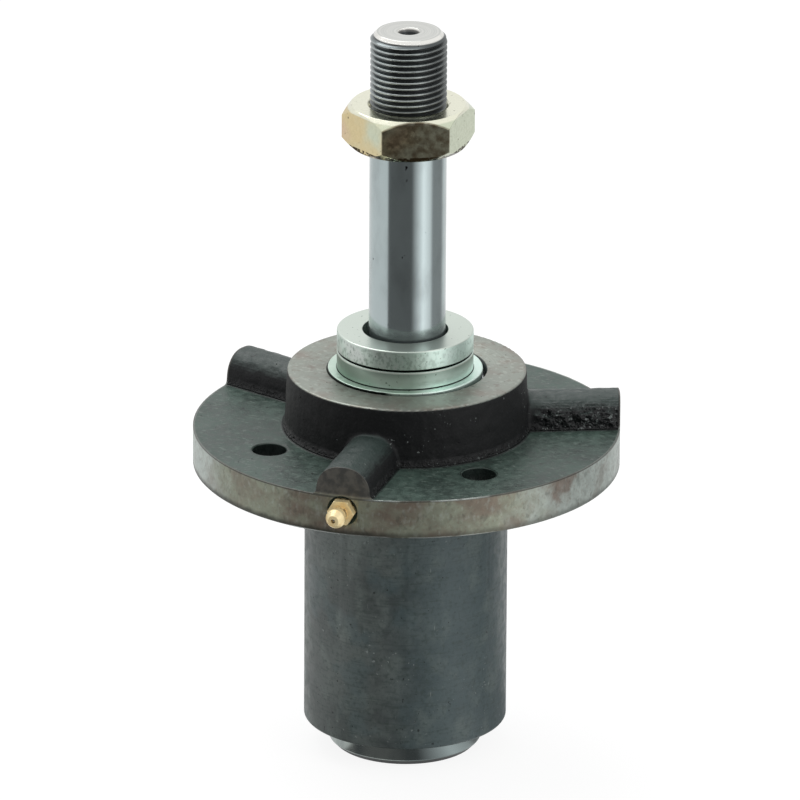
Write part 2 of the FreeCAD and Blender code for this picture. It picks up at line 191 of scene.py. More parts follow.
class Paint(NodeTree):
    """One procedural material and the patterns that its finish is mixed from, in millimetres."""

    def __init__(self, name: str, centre: Span = (0.0, 0.0)) -> None:
        """Start a material, with its radius measured from a centre in X and Y."""
        self.material = bpy.data.materials.new(name)
        self.material.use_nodes = True
        super().__init__(self.material.node_tree)
        self.shader = self.tree.nodes["Principled BSDF"]
        place = self.add("ShaderNodeTexCoord").outputs["Object"]
        self.point = self.vector("MULTIPLY", place, (1 / MM,) * 3)
        self.x, self.y, self.z = self.add("ShaderNodeSeparateXYZ", Vector=self.point).outputs
        flat = self.vector("MULTIPLY", self.vector("SUBTRACT", self.point, (*centre, 0)), (1, 1, 0))
        self.radius = self.vector("LENGTH", flat)

    def vector(self, operation: str, a: object, b: object = (0, 0, 0)) -> Socket:
        """Vector maths, by the operation's name: a number for LENGTH, otherwise a vector."""
        node = self.tree.nodes.new("ShaderNodeVectorMath")
        node.operation = operation
        self.join(a, node.inputs[0])
        self.join(b, node.inputs[1])
        return node.outputs["Value" if operation == "LENGTH" else "Vector"]

    def step(self, value: Socket, low: float, high: float) -> Socket:
        """Smooth step of a value, from 0 at low to 1 at high, which may be the smaller of the two."""
        node = self.add("ShaderNodeMapRange", Value=value, From_Min=min(low, high), From_Max=max(low, high),
                        To_Min=float(low >= high), To_Max=float(low < high))
        node.interpolation_type = "SMOOTHSTEP"
        return node.outputs["Result"]

    def zone(self, *limits: tuple[Socket, Span]) -> Socket:
        """Where several values have all passed their steps."""
        return self.both(*(self.step(value, *span) for value, span in limits))

    def within(self, value: Socket, low: float, high: float, soft: float) -> Socket:
        """Where a value lies between two limits, which are softened."""
        return self.zone((value, (low - soft, low + soft)), (value, (high + soft, high - soft)))

    def near(self, value: Socket, middle: float, limits: Span) -> Socket:
        """Where a value is near a middle: a step on how far it is away."""
        return self.step(self.sum("ABSOLUTE", self.sum("SUBTRACT", value, middle)), *limits)

    def cloud(self, per_mm: float, detail: float, seed: float, stretch: Triple = (1, 1, 1)) -> Socket:
        """Noise over the piece, about 0.5, with the measures that a pattern has."""
        moved = self.vector("MULTIPLY", self.point, stretch)
        moved = self.vector("ADD", moved, (seed, seed * 0.7, seed * 1.3))
        return self.add("ShaderNodeTexNoise", Vector=moved, Scale=per_mm, Detail=detail).outputs["Fac"]

    def shaken(self, value: Socket, reach: float, per_mm: float, detail: float, seed: float) -> Socket:
        """A value with noise added, as much as a reach in millimetres."""
        return self.sum("ADD", value, self.sum("MULTIPLY", self.cloud(per_mm, detail, seed), reach))

    def patch(self, pattern: Pattern) -> Socket:
        """Share of a pattern's patches at each point."""
        noise_here = self.cloud(pattern.per_mm, pattern.detail, pattern.seed, pattern.stretch)
        return self.step(noise_here, pattern.low, pattern.high)

    def stain(self, colour: object, *stains: Stain) -> Socket:
        """Lay stains over a colour, in order."""
        for stain in stains:
            colour = self.mix(self.both(self.patch(stain.pattern), stain.share), colour, stain.tint)
        return colour

    def lines(self, along: Socket, per_mm: float, seed: float = 0.0) -> Socket:
        """Noise that changes along one measure alone, as a lathe's marks do."""
        node = self.tree.nodes.new("ShaderNodeTexNoise")
        node.noise_dimensions = "1D"
        self.join(self.sum("ADD", along, seed), node.inputs["W"])
        node.inputs["Scale"].default_value = per_mm
        node.inputs["Detail"].default_value = 3.0
        return node.outputs["Fac"]

    def attribute(self, name: str) -> Socket:
        """Value that the piece's mesh holds at each point."""
        node = self.tree.nodes.new("ShaderNodeAttribute")
        node.attribute_name = name
        return node.outputs["Fac"]

    def mix(self, share: object, a: object, b: object) -> Socket:
        """Mix two colours, with share saying how much of b shows."""
        node = self.tree.nodes.new("ShaderNodeMix")
        node.data_type = "RGBA"
        self.join(share, node.inputs[0])
        self.join(a, node.inputs[6])
        self.join(b, node.inputs[7])
        return node.outputs[2]

    def blends(self, value: object, *changes: tuple[object, float]) -> Socket:
        """Blend a number with others in order, each by its share."""
        for share, other in changes:
            value = self.blend(share, value, other)
        return value

    def finish(self, colour: object, roughness: object, metallic: object, height_mm: Socket) -> Material:
        """Put the patterns on the shader.

        Args:
            colour: Base colour.
            roughness: Roughness.
            metallic: Share of bare metal.
            height_mm: Height of the fine relief, in millimetres.

        Returns:
            The finished material.
        """
        bump = self.add("ShaderNodeBump", Strength=1.0, Distance=MM, Height=height_mm)
        looks = {"Base Color": colour, "Roughness": roughness, "Metallic": metallic}
        for name, value in {**looks, "Normal": bump.outputs["Normal"]}.items():
            self.join(value, self.shader.inputs[name])
        return self.material


@dataclass(frozen=True)
class CastZones:
    """Where the casting was machined or left rough, as shares from 0 to 1, and the sand's grain."""

    face: Socket
    rim: Socket
    raised: Socket
    barrel: Socket
    right: Socket
    level: Socket
    steep: Socket
    medium: Socket
    cluster: Socket
    lumpy: Socket
    speck: Socket
    worn: Socket
    grain: Socket


@dataclass(frozen=True)
class CastHousingFinish:
    """Oiled cast iron: black on the ribs and boss, turned on the boss face and rim, dull on the barrel."""

    flange_dark: Colour = linear(50, 63, 58)
    flange_pale: Colour = linear(72, 91, 83)
    flange_worn: Colour = linear(112, 126, 118)
    cast_black: Colour = linear(4, 6, 8)
    cast_grey: Colour = linear(22, 24, 26)
    lit_rib_top: Colour = linear(54, 66, 63)
    rib_end: Colour = linear(86, 84, 78)
    rib_end_dark: Colour = linear(64, 64, 61)
    face_grey: Colour = linear(142, 147, 139)
    face_brown: Colour = linear(137, 132, 124)
    face_pale: Colour = linear(172, 178, 170)
    face_rust: Colour = linear(116, 104, 96)
    rim_olive: Colour = linear(146, 151, 134)
    rim_brown: Colour = linear(128, 119, 106)
    rim_pale_and_sheen: Colour = linear(186, 196, 190)
    rim_rust: Colour = linear(118, 98, 86)
    rim_dirt_and_shade: Colour = linear(58, 60, 54)
    worn_edge: Colour = linear(176, 182, 178)
    barrel_dark: Colour = linear(65, 71, 71)
    barrel_pale: Colour = linear(92, 100, 98)
    barrel_blue: Colour = linear(74, 93, 97)
    barrel_worn: Colour = linear(116, 127, 122)
    glint_and_scratch: Colour = linear(166, 174, 172)
    shine: float = 0.36
    hole_place: float = 35.92
    hole_edge: Span = (5.8, 5.5)
    face_from: Span = (BOSS_TOP - 0.6, BOSS_TOP - 0.1)
    rim_from: Span = (69.85, 70.12)
    raised_from: Span = (13.2, 13.6)
    barrel_from: Span = (-0.1, -0.5)
    looks_up: Span = (0.4, 0.9)
    level_from: Span = (14.6, 16.2)
    root_until: Span = (16.2, 13.8)
    right_rib: Span = (41.0, 47.0)
    speck_side: Span = (-15.0, 12.0)
    left_side: Span = (-26.0, -38.0)
    boss_until: Span = (42.0, 41.0)
    toe_slope: Span = (0.992, 0.93)
    toe_from: Span = (13.0, 13.1)
    toe_until: Span = (15.0, 14.0)
    bevel_from: Span = (12.6, 12.75)
    bevel_until: Span = (13.5, 13.3)
    rim_metal: Span = (12.9, 12.6)
    rib_end_from: Span = (12.9, 14.5)
    top_edge: tuple[Span, Span, Span] = ((12.72, 12.84), (13.4, 13.2), (6.0, 12.0))
    low_edge: tuple[Span, Span, Span] = ((-0.1, 0.06), (0.66, 0.5), (-22.0, -14.0))
    worn_until: Span = (52.0, 36.0)
    worn_patches: Pattern = Pattern(0.12, 4.0, 41.0, 0.36, 0.52)
    broad: Pattern = Pattern(0.06, 4.0, 0.0, 0.34, 0.66)
    medium: Pattern = Pattern(0.35, 4.0, 7.0, 0.36, 0.64)
    cluster: Pattern = Pattern(0.07, 2.0, 63.0, 0.5, 0.62)
    root_specks: Pattern = Pattern(1.0, 2.0, 11.0, 0.63, 0.69)
    rib_specks: Pattern = Pattern(0.7, 2.0, 14.0, 0.6, 0.68)
    stray_specks: Pattern = Pattern(0.8, 2.0, 61.0, 0.68, 0.73)
    flange_scuff: Stain = Stain(flange_worn, 0.5, Pattern(0.45, 6.0, 81.0, 0.54, 0.72, (1, 1.7, 1)))
    pits: Stain = Stain(cast_black, 0.7, Pattern(0.6, 2.0, 5.0, 0.31, 0.26))
    barrel_clouds: Pattern = Pattern(0.05, 5.0, 21.0, 0.36, 0.64)
    barrel_tint: Pattern = Pattern(0.07, 4.0, 85.0, 0.5, 0.64)
    barrel_smear: Pattern = Pattern(0.14, 7.0, 91.0, 0.48, 0.74, (1, 1, 0.8))
    barrel_right: Span = (0.0, 22.0)
    barrel_left: Span = (5.0, -10.0)
    barrel_stains: tuple[Stain, ...] = (
        Stain(flange_dark, 0.35, Pattern(0.55, 4.0, 73.0, 0.5, 0.72, (0.3, 0.3, 2.5))),
        Stain(flange_dark, 0.4, Pattern(0.8, 5.0, 93.0, 0.48, 0.7)),
        Stain(glint_and_scratch, 0.3, Pattern(0.22, 3.0, 77.0, 0.715, 0.76, (3, 3, 0.5))),
    )
    face_clouds: Stain = Stain(face_brown, 1.0, Pattern(0.1, 4.0, 31.0, 0.42, 0.68))
    face_rings: Pattern = Pattern(0.08, 3.0, 37.0, 0.4, 0.6)
    face_stains: tuple[Stain, ...] = (
        Stain(face_pale, 0.5, Pattern(0.5, 6.0, 39.0, 0.53, 0.68)),
        Stain(face_rust, 0.5, Pattern(0.4, 5.0, 53.0, 0.54, 0.7)),
        Stain(cast_grey, 1.0, Pattern(0.7, 2.0, 35.0, 0.3, 0.26)),
    )
    rim_clouds: Stain = Stain(rim_brown, 1.0, Pattern(0.06, 5.0, 13.0, 0.4, 0.6, (1, 1, 1.6)))
    rim_sides: Span = (55.0, 74.0)
    rust_place: Triple = (63.0, -31.0, 12.0)
    rust_reach: Span = (16.0, 9.5)
    stray_rust: Pattern = Pattern(0.07, 4.0, 51.0, 0.58, 0.7)
    rim_mottle: Pattern = Pattern(0.5, 5.0, 27.0, 0.5, 0.72, (1, 1, 0.7))
    rim_stains: tuple[Stain, ...] = (
        Stain(rim_rust, 0.3, Pattern(0.9, 5.0, 87.0, 0.5, 0.7)),
        Stain(rim_pale_and_sheen, 0.25, Pattern(0.7, 5.0, 89.0, 0.52, 0.74, (1, 1, 0.6))),
    )
    shade_until: Span = (3.8, 1.8)
    less_shade_side: Span = (5.0, 30.0)

    def paint(self) -> Material:
        """Make the material, with one zone for each way that the casting was finished."""
        p = Paint("cast_housing")
        p.shader.inputs["Specular IOR Level"].default_value = self.shine
        zones = self.zones(p)
        rough = p.blends(p.blend(zones.medium, 0.36, 0.5), (p.both(zones.raised, zones.steep), 0.66),
                         (zones.lumpy, 0.42), (zones.speck, 0.25), (zones.rim, 0.4), (zones.face, 0.42))
        metal = p.blend(zones.face, p.both(zones.rim, p.step(p.z, *self.rim_metal), 0.5), 0.8)
        metal = p.most(metal, p.both(zones.speck, 0.7), zones.worn)
        return p.finish(self.colour(p, zones), rough, metal, self.relief(p, zones))

    def zones(self, p: Paint) -> CastZones:
        """Find the zones of the casting in a material."""
        raised = p.step(p.z, *self.raised_from)
        right = p.step(p.x, *self.right_rib)
        rim = p.step(p.radius, *self.rim_from)
        level = p.zone((p.attribute("level"), self.looks_up), (p.z, self.level_from))
        steep = p.sum("SUBTRACT", 1.0, level)
        cluster = p.patch(self.cluster)
        lumpy = p.both(raised, p.most(p.step(p.z, *self.root_until), right), steep)
        dense = p.blend(cluster, 0.3, 1.0)
        speck = p.most(p.both(p.patch(self.root_specks), lumpy, p.step(p.x, *self.speck_side), dense),
                       p.both(p.patch(self.rib_specks), lumpy, right, 0.6))
        rubbed = p.most(*(p.zone((p.z, low), (p.z, high), (p.x, side))
                          for low, high, side in (self.top_edge, self.low_edge)))
        worn = p.both(rubbed, p.step(p.x, *self.worn_until), p.patch(self.worn_patches), rim)
        return CastZones(
            face=p.step(p.z, *self.face_from), rim=rim, raised=raised, barrel=p.step(p.z, *self.barrel_from),
            right=right, level=level, steep=steep, medium=p.patch(self.medium), cluster=cluster, lumpy=lumpy,
            speck=speck, worn=worn, grain=p.cloud(1.6, 4.0, 3.0))

    def colour(self, p: Paint, zones: CastZones) -> Socket:
        """Colour of the whole casting, zone over zone."""
        flange = p.mix(p.blend(0.5, p.patch(self.broad), zones.medium), self.flange_dark, self.flange_pale)
        flange = p.stain(flange, self.flange_scuff)
        cast = p.mix(p.step(zones.grain, 0.52, 0.75), self.cast_black, self.cast_grey)
        # Painted reflection: the boss's left side is painted lighter, where it is seen at a grazing angle.
        left = p.zone((p.x, self.left_side), (p.radius, self.boss_until))
        cast = p.mix(p.both(left, 0.3), cast, self.rib_end_dark)
        # Painted light: rough faces that look up, the ribs' tops and crowns, are painted lighter and greener.
        cast = p.mix(zones.level, cast, self.lit_rib_top)
        colour = p.mix(zones.barrel, p.mix(zones.raised, flange, cast), self.tube(p, zones.medium))
        # Painted shade: the fillets at the feet of the boss and ribs are painted darker.
        toe = p.zone((p.attribute("level"), self.toe_slope), (p.z, self.toe_from), (p.z, self.toe_until))
        colour = p.mix(p.both(toe, 0.8), colour, self.cast_black)
        # Painted glints: pale specks, in clusters and on the rough roots and right rib, stand in for lit sand
        # lumps; the root and rib specks are also glossy metal.
        colour = p.mix(p.both(p.patch(self.stray_specks), zones.cluster, 0.4), colour, self.glint_and_scratch)
        colour = p.mix(p.both(zones.speck, 0.6), colour, self.glint_and_scratch)
        colour = p.stain(colour, self.pits)
        # Painted shade: the walls of the bolt holes are painted dark.
        hole = p.vector("SUBTRACT", p.vector("ABSOLUTE", p.point), (self.hole_place, self.hole_place, 0))
        hole = p.vector("LENGTH", p.vector("MULTIPLY", hole, (1, 1, 0)))
        colour = p.mix(p.both(p.step(hole, *self.hole_edge), 0.8), colour, self.cast_black)
        colour = p.mix(zones.face, colour, self.boss_face(p))
        colour = p.mix(zones.rim, colour, self.rim_side(p, zones.medium))
        bevel = p.both(zones.rim, p.zone((p.z, self.bevel_from), (p.z, self.bevel_until)))
        colour = p.mix(p.both(bevel, 0.8), colour, self.rim_dirt_and_shade)
        return p.mix(zones.worn, colour, self.worn_edge)

    def relief(self, p: Paint, zones: CastZones) -> Socket:
        """Height of the sand's relief and of the lathe's marks, in millimetres."""
        sand = p.both(p.cloud(0.9, 4.0, 17.0), p.blend(zones.right, 0.24, 0.08))
        lumps = p.both(p.cloud(0.38, 2.0, 18.0), zones.right, 0.45)
        fine = p.both(zones.grain, p.blend(zones.right, 0.12, 0.06))
        amount = p.blend(zones.raised, 0.3, p.blend(zones.lumpy, 0.5, 4.0))
        amount = p.blends(amount, (zones.barrel, 0.15), (zones.rim, 0.1), (zones.face, 0.04))
        height = p.both(p.fold("ADD", (sand, lumps, fine)), amount)
        round_barrel = p.both(p.lines(p.z, 1.5), zones.barrel)
        round_face = p.both(p.lines(p.radius, 2.0), zones.face)
        return p.sum("ADD", height, p.both(p.sum("ADD", round_barrel, round_face), 0.004))

    def tube(self, p: Paint, medium: Socket) -> Socket:
        """Colour of the barrel: clouded, with faint lines round it, bluer in patches, and painted bluer and
        lighter on the right as painted light.
        """
        colour = p.mix(p.blend(0.3, p.patch(self.barrel_clouds), medium), self.barrel_dark, self.barrel_pale)
        # Painted light: the barrel's right side is painted bluer and lighter, over bluer patches all round.
        bluer = p.blend(p.step(p.x, *self.barrel_right), p.both(p.patch(self.barrel_tint), 0.5), 0.6)
        colour = p.mix(bluer, colour, self.barrel_blue)
        smear = p.patch(self.barrel_smear)
        colour = p.mix(p.both(smear, 0.34), colour, self.barrel_worn)
        left = p.both(p.step(p.x, *self.barrel_left), p.blend(smear, 0.2, 0.5))
        return p.stain(p.mix(left, colour, self.barrel_worn), *self.barrel_stains)

    def boss_face(self, p: Paint) -> Socket:
        """Colour of the turned face of the boss: grey, browner in places, with rings and a few pits."""
        rings = p.both(p.step(p.lines(p.radius, 1.4, 31.0), 0.45, 0.7), p.patch(self.face_rings), 0.18)
        colour = p.mix(rings, p.stain(self.face_grey, self.face_clouds), self.face_pale)
        return p.stain(colour, *self.face_stains)

    def rim_side(self, p: Paint, medium: Socket) -> Socket:
        """Colour of the flange's rim: olive, brown and rusty patches, with a painted grazing reflection paler
        to both sides and painted shade low down.
        """
        colour = p.stain(self.rim_olive, self.rim_clouds)
        # Painted reflection: the rim is painted paler towards both ends, where it is seen at a grazing angle.
        aside = p.shaken(p.sum("ABSOLUTE", p.x), 22.0, 0.15, 5.0, 45.0)
        aside = p.sum("SUBTRACT", aside, p.sum("MULTIPLY", p.x, 0.07))
        colour = p.mix(p.step(aside, *self.rim_sides), colour, self.rim_pale_and_sheen)
        away = p.vector("LENGTH", p.vector("SUBTRACT", p.point, self.rust_place))
        away = p.shaken(away, 14.0, 0.25, 5.0, 51.0)
        rust = p.most(p.both(p.patch(self.stray_rust), 0.35), p.both(p.step(away, *self.rust_reach), 0.75))
        colour = p.mix(rust, colour, self.rim_rust)
        mottle = p.most(p.patch(self.rim_mottle), p.both(medium, 0.4))
        colour = p.mix(p.both(mottle, 0.4), colour, self.rim_dirt_and_shade)
        colour = p.stain(colour, *self.rim_stains)
        # Painted shade: the rim's lower part is painted darker, more on the left.
        low = p.step(p.shaken(p.z, 2.0, 0.3, 4.0, 29.0), *self.shade_until)
        shaded_low = p.both(low, p.blend(p.step(p.x, *self.less_shade_side), 0.85, 0.5))
        colour = p.mix(shaded_low, colour, self.rim_dirt_and_shade)
        rib_end = p.mix(medium, self.rib_end, self.rib_end_dark)
        return p.mix(p.step(p.z, *self.rib_end_from), colour, rib_end)


@dataclass(frozen=True)
class GroundSteelFinish:
    """Ground shaft steel: bright with faint stains and oily spots, painted shade in its thread and centre
    hole, and a dull hub with painted reflected bands and a painted shaded chamfer.
    """

    bright: Colour = linear(178, 190, 191)
    stained: Colour = linear(157, 167, 168)
    faced: Colour = linear(198, 200, 196)
    chamfered: Colour = linear(234, 233, 228)
    crest: Colour = linear(192, 199, 197)
    flank: Colour = linear(128, 135, 136)
    oiled_and_shade: Colour = linear(24, 26, 27)
    hub_dark: Colour = linear(120, 130, 130)
    hub_reflection: Colour = linear(164, 172, 168)
    hub_edge: Colour = linear(30, 36, 36)
    root_radius: float = 11.5
    crest_radius: float = 12.45
    centre_radius: float = 3.7
    chamfer_from: Span = (SHAFT_RISE - 2.0, SHAFT_RISE - 1.2)
    end_from: Span = (SHAFT_RISE - 0.12, SHAFT_RISE - 0.02)
    below_end: Span = (SHAFT_RISE - 0.9, SHAFT_RISE - 1.4)
    centre_until: Span = (SHAFT_RISE - 0.2, SHAFT_RISE - 0.8)
    thread_from: Span = (THREAD_BOTTOM - 0.2, THREAD_BOTTOM + 0.2)
    thread_foot: Span = (THREAD_BOTTOM + 19.0, THREAD_BOTTOM + 15.5)
    lit_side: Span = (-1.0, -6.0)
    right_shade_side: Span = (5.5, 9.5)
    middle_shade_side: Span = (-2.5, 1.5)
    collar_shade_from: Span = (COLLAR_TOP - 2.0, COLLAR_TOP - 1.0)
    collar_shade_until: Span = (COLLAR_TOP + 5.6, COLLAR_TOP + 2.6)
    hub_from: Span = (-87.0, -87.4)
    hub_chamfer: Span = (-96.4, -96.9)
    hub_rim: Span = (22.9, 23.4)
    hub_reflection_side: Span = (12.0, 2.0)
    stains: Pattern = Pattern(0.09, 4.0, 2.0, 0.45, 0.75, (1, 1, 0.5))
    crest_patches: Pattern = Pattern(0.45, 4.0, 57.0, 0.4, 0.65)
    hub_reflection_bands: Pattern = Pattern(0.08, 4.0, 23.0, 0.4, 0.62, (1, 1, 0.2))
    oil_spots: Stain = Stain(oiled_and_shade, 1.0, Pattern(0.35, 2.0, 4.0, 0.27, 0.24))

    def paint(self) -> Material:
        """Make the material."""
        p = Paint("ground_steel")
        stain = p.patch(self.stains)
        threaded = p.step(p.z, *self.thread_from)
        lit = p.step(p.x, *self.lit_side)
        below = p.both(threaded, p.step(p.z, *self.below_end))
        dark = self.oil_and_shade(p, threaded, lit, below)
        colour = p.mix(threaded, p.mix(stain, self.bright, self.stained), self.crest)
        patchy = p.most(p.both(p.patch(self.crest_patches), 0.5), p.both(lit, 0.5))
        colour = p.mix(p.both(threaded, patchy), colour, self.flank)
        colour = p.mix(p.step(p.z, *self.chamfer_from), colour, self.chamfered)
        rings = p.step(p.lines(p.radius, 1.6, 17.0), 0.35, 0.65)
        faced = p.mix(p.both(rings, 0.4), self.faced, self.chamfered)
        colour = p.mix(p.step(p.z, *self.end_from), colour, faced)
        # Painted shade: below the end's chamfer the thread's flanks are painted darker than its crests.
        side = p.both(below, p.step(p.radius, self.crest_radius + 0.05, self.crest_radius - 0.15))
        colour = p.mix(side, colour, self.flank)
        # Painted shade: the darkened places are painted in the dark colour, with oily spots laid over all.
        colour = p.stain(p.mix(p.both(dark, 0.95), colour, self.oiled_and_shade), self.oil_spots)
        hub = p.step(p.z, *self.hub_from)
        # Painted reflection: paler vertical bands on the hub's left and middle.
        bands = p.both(p.patch(self.hub_reflection_bands), p.step(p.x, *self.hub_reflection_side))
        colour = p.mix(hub, colour, p.mix(bands, self.hub_dark, self.hub_reflection))
        # Painted shade: the hub's lower chamfer is painted dark.
        low = p.zone((p.z, self.hub_chamfer), (p.radius, self.hub_rim))
        colour = p.mix(low, colour, self.hub_edge)
        rough = p.blends(p.blend(stain, 0.13, 0.22), (dark, 0.4), (hub, 0.24), (low, 0.6))
        metal = p.blends(1.0, (dark, 0.5), (low, 0.0))
        return p.finish(colour, rough, metal, p.both(p.cloud(0.5, 3.0, 9.0, (0.3, 0.3, 14)), 0.003))

    def oil_and_shade(self, p: Paint, threaded: Socket, lit: Socket, below: Socket) -> Socket:
        """Where shade is painted: in the thread's root, lighter on the lit side, in the centre hole, towards
        the right side, just above the nut, and as a dark band just above the collar.

        Args:
            p: The material.
            threaded: The shaft's upper end, from the thread's foot.
            lit: The lit side, where the painted shade in the thread's root is lighter.
            below: The threaded part without the end's chamfer.

        Returns:
            A share from 0 to 1.
        """
        # Painted shade in the thread's root, lighter on the lit side.
        deep = p.step(p.radius, self.crest_radius - 0.15, self.root_radius)
        root = p.both(below, deep, p.blend(lit, 1.0, 0.6))
        # Painted shade inside the centre hole.
        inside = p.step(p.radius, self.centre_radius, self.centre_radius - 0.15)
        centre = p.both(threaded, inside, p.step(p.z, *self.centre_until), 0.9)
        # Painted shade towards the right side of the thread.
        thin = p.both(p.step(p.x, *self.middle_shade_side), 0.15)
        side_shade = p.both(below, p.blend(p.step(p.x, *self.right_shade_side), thin, 0.68))
        # Painted shade on the thread just above the nut.
        foot = p.both(threaded, p.step(p.z, *self.thread_foot), 0.6)
        # Painted dark reflection of the collar, in a band just above it.
        ring = p.step(p.shaken(p.z, 3.0, 0.3, 4.0, 55.0), *self.collar_shade_until)
        return p.most(root, centre, side_shade, foot, p.both(ring, p.step(p.z, *self.collar_shade_from), 0.6))


@dataclass(frozen=True)
class ZincFinish:
    """Zinc plate with a passivation tint, painted paler on its top face, and blotched where it was handled.

    Darker rings, partly of real soiling and partly of painted shade, lie at a height, half height, inner and
    outer radius, as far as an X. A painted dark reflection lies on the side further than a distance in a
    direction of X and Y.
    """

    name: str
    plate: Colour
    tint: Colour
    blush: Colour
    stain: Colour
    dirt_and_shade: Colour
    roughness: float
    stain_share: float
    blotch_stretch: Triple
    pale_and_highlight: Colour
    stained: Span
    pale_above: float
    shaded: Span = (-200.0, -190.0)
    pale_roughness: float = 0.2
    metallic: float = 1.0
    lit: Colour = (0.8, 1.0, 0.93)
    lit_share: float = 0.0
    lit_side: Span = (8.0, 18.0)
    clean_side: Span = (6.0, 15.0)
    shaded_side: Span = (-2.0, -16.0)
    lean: float = 0.0
    centre: Span = (0.0, 0.0)
    dirt_and_shade_rings: tuple[tuple[float, float, float, float, float], ...] = ()
    dark_reflection_side: Triple = (0.0, 0.0, 1.0)
    blush_patches: Pattern = Pattern(0.08, 2.0, 15.0, 0.5, 0.66)
    spots: Pattern = Pattern(0.8, 2.0, 8.0, 0.3, 0.26)
    dark_reflection_patches: Pattern = Pattern(0.4, 5.0, 33.0, 0.3, 0.7)
    dirt_patches: Pattern = Pattern(0.7, 3.0, 47.0, 0.4, 0.5)

    def paint(self) -> Material:
        """Make the material."""
        p = Paint(self.name, self.centre)
        blotch = p.cloud(0.9, 5.0, 1.0, self.blotch_stretch)
        top = p.step(p.z, self.pale_above - 0.5, self.pale_above)
        broad = p.step(p.sum("ADD", p.cloud(0.05, 3.0, 6.0), p.sum("MULTIPLY", p.x, self.lean)), 0.36, 0.64)
        blush = p.both(p.patch(self.blush_patches), p.sum("SUBTRACT", 1.0, broad))
        colour = p.mix(blush, p.mix(broad, self.plate, self.tint), self.blush)
        colour = p.mix(p.both(p.step(p.x, *self.lit_side), self.lit_share), colour, self.lit)
        # Painted light: the top face is painted paler.
        colour = p.mix(top, colour, self.pale_and_highlight)
        handled = p.both(p.within(p.z, *self.stained, 0.3), p.blend(p.step(p.x, *self.clean_side), 1.0, 0.45))
        for limits, tint in (((0.46, 0.66), self.stain), ((0.44, 0.34), self.pale_and_highlight)):
            colour = p.mix(p.both(p.step(blotch, *limits), handled, self.stain_share), colour, tint)
        colour = p.stain(colour, Stain(self.stain, 1.0, self.spots))
        colour = self.dirtied_and_shaded(p, self.shadowed(p, colour))
        rough = p.blend(p.step(blotch, 0.35, 0.65), self.roughness - 0.05, self.roughness + 0.06)
        rough = p.blend(top, rough, self.pale_roughness)
        height = p.sum("ADD", p.both(blotch, 0.004), p.both(p.cloud(1.8, 3.0, 19.0), 0.0015))
        return p.finish(colour, rough, self.metallic, height)

    def shadowed(self, p: Paint, colour: Socket) -> Socket:
        """A colour with the painted shade under a lip laid over it, deeper on one side, and a painted
        highlight on the lip itself.
        """
        low, high = self.shaded
        under = p.step(p.z, high + 0.3, high + 0.1)
        deeper = p.both(p.zone((p.x, self.shaded_side), (p.z, (low - 2.8, low - 2.2))), 1.4)
        shade = p.both(p.most(p.step(p.z, low, high), deeper), under, 0.6)
        # Painted highlight: a thin paler line along the lip.
        lip = p.both(p.step(p.z, high - 0.4, high - 0.25), under)
        return p.mix(lip, p.mix(shade, colour, self.stain), self.pale_and_highlight)

    def dirtied_and_shaded(self, p: Paint, colour: Socket) -> Socket:
        """A colour with the painted dark reflection on one side and the rings of soiling and painted shade
        laid over it.
        """
        # Painted reflection: the side toward the front is painted dark, in patches.
        across, along, reach = self.dark_reflection_side
        away = p.sum("ADD", p.sum("MULTIPLY", p.x, across), p.sum("MULTIPLY", p.y, along))
        dull = p.both(p.step(away, reach - 0.5, reach), p.blend(p.patch(self.dark_reflection_patches), 0.6, 0.95))
        colour = p.mix(dull, colour, self.stain)
        # Darker rings, partly real soiling and partly painted shade.
        for height, half, inner, outer, last in self.dirt_and_shade_rings:
            level = p.near(p.z, height, (half + 0.1, half - 0.1))
            ring = p.within(p.radius, inner, outer, 0.1)
            spots = p.patch(self.dirt_patches) if half > 1 else 1.0
            colour = p.mix(p.both(level, ring, spots, p.step(p.x, last + 4.0, last)), colour, self.dirt_and_shade)
        return colour


@dataclass(frozen=True)
class BareMetalFinish:
    """Plain metal or rubber of a small or inner piece, with light wear and patches that are darker at places
    along Y.
    """

    name: str
    bright: Colour
    dull: Colour
    roughness: float
    metallic: float = 1.0
    darker_tint: Colour = (0.0, 0.0, 0.0)
    darker_at: tuple[Span, ...] = ()
    wear: Pattern = Pattern(0.4, 4.0, 12.0, 0.4, 0.66)
    darker_patches: Pattern = Pattern(0.5, 3.0, 71.0, 0.4, 0.56)

    def paint(self) -> Material:
        """Make the material."""
        p = Paint(self.name)
        wear = p.patch(self.wear)
        colour = p.mix(wear, self.bright, self.dull)
        for place, half in self.darker_at:
            # Darker in patches across a band at each given place along Y.
            darker_here = p.both(p.near(p.y, place, (half + 0.3, half - 0.2)), p.patch(self.darker_patches), 0.8)
            colour = p.mix(darker_here, colour, self.darker_tint)
        rough = p.blend(wear, self.roughness, self.roughness + 0.12)
        return p.finish(colour, rough, self.metallic, p.both(p.cloud(2.0, 2.0, 2.0), 0.006))


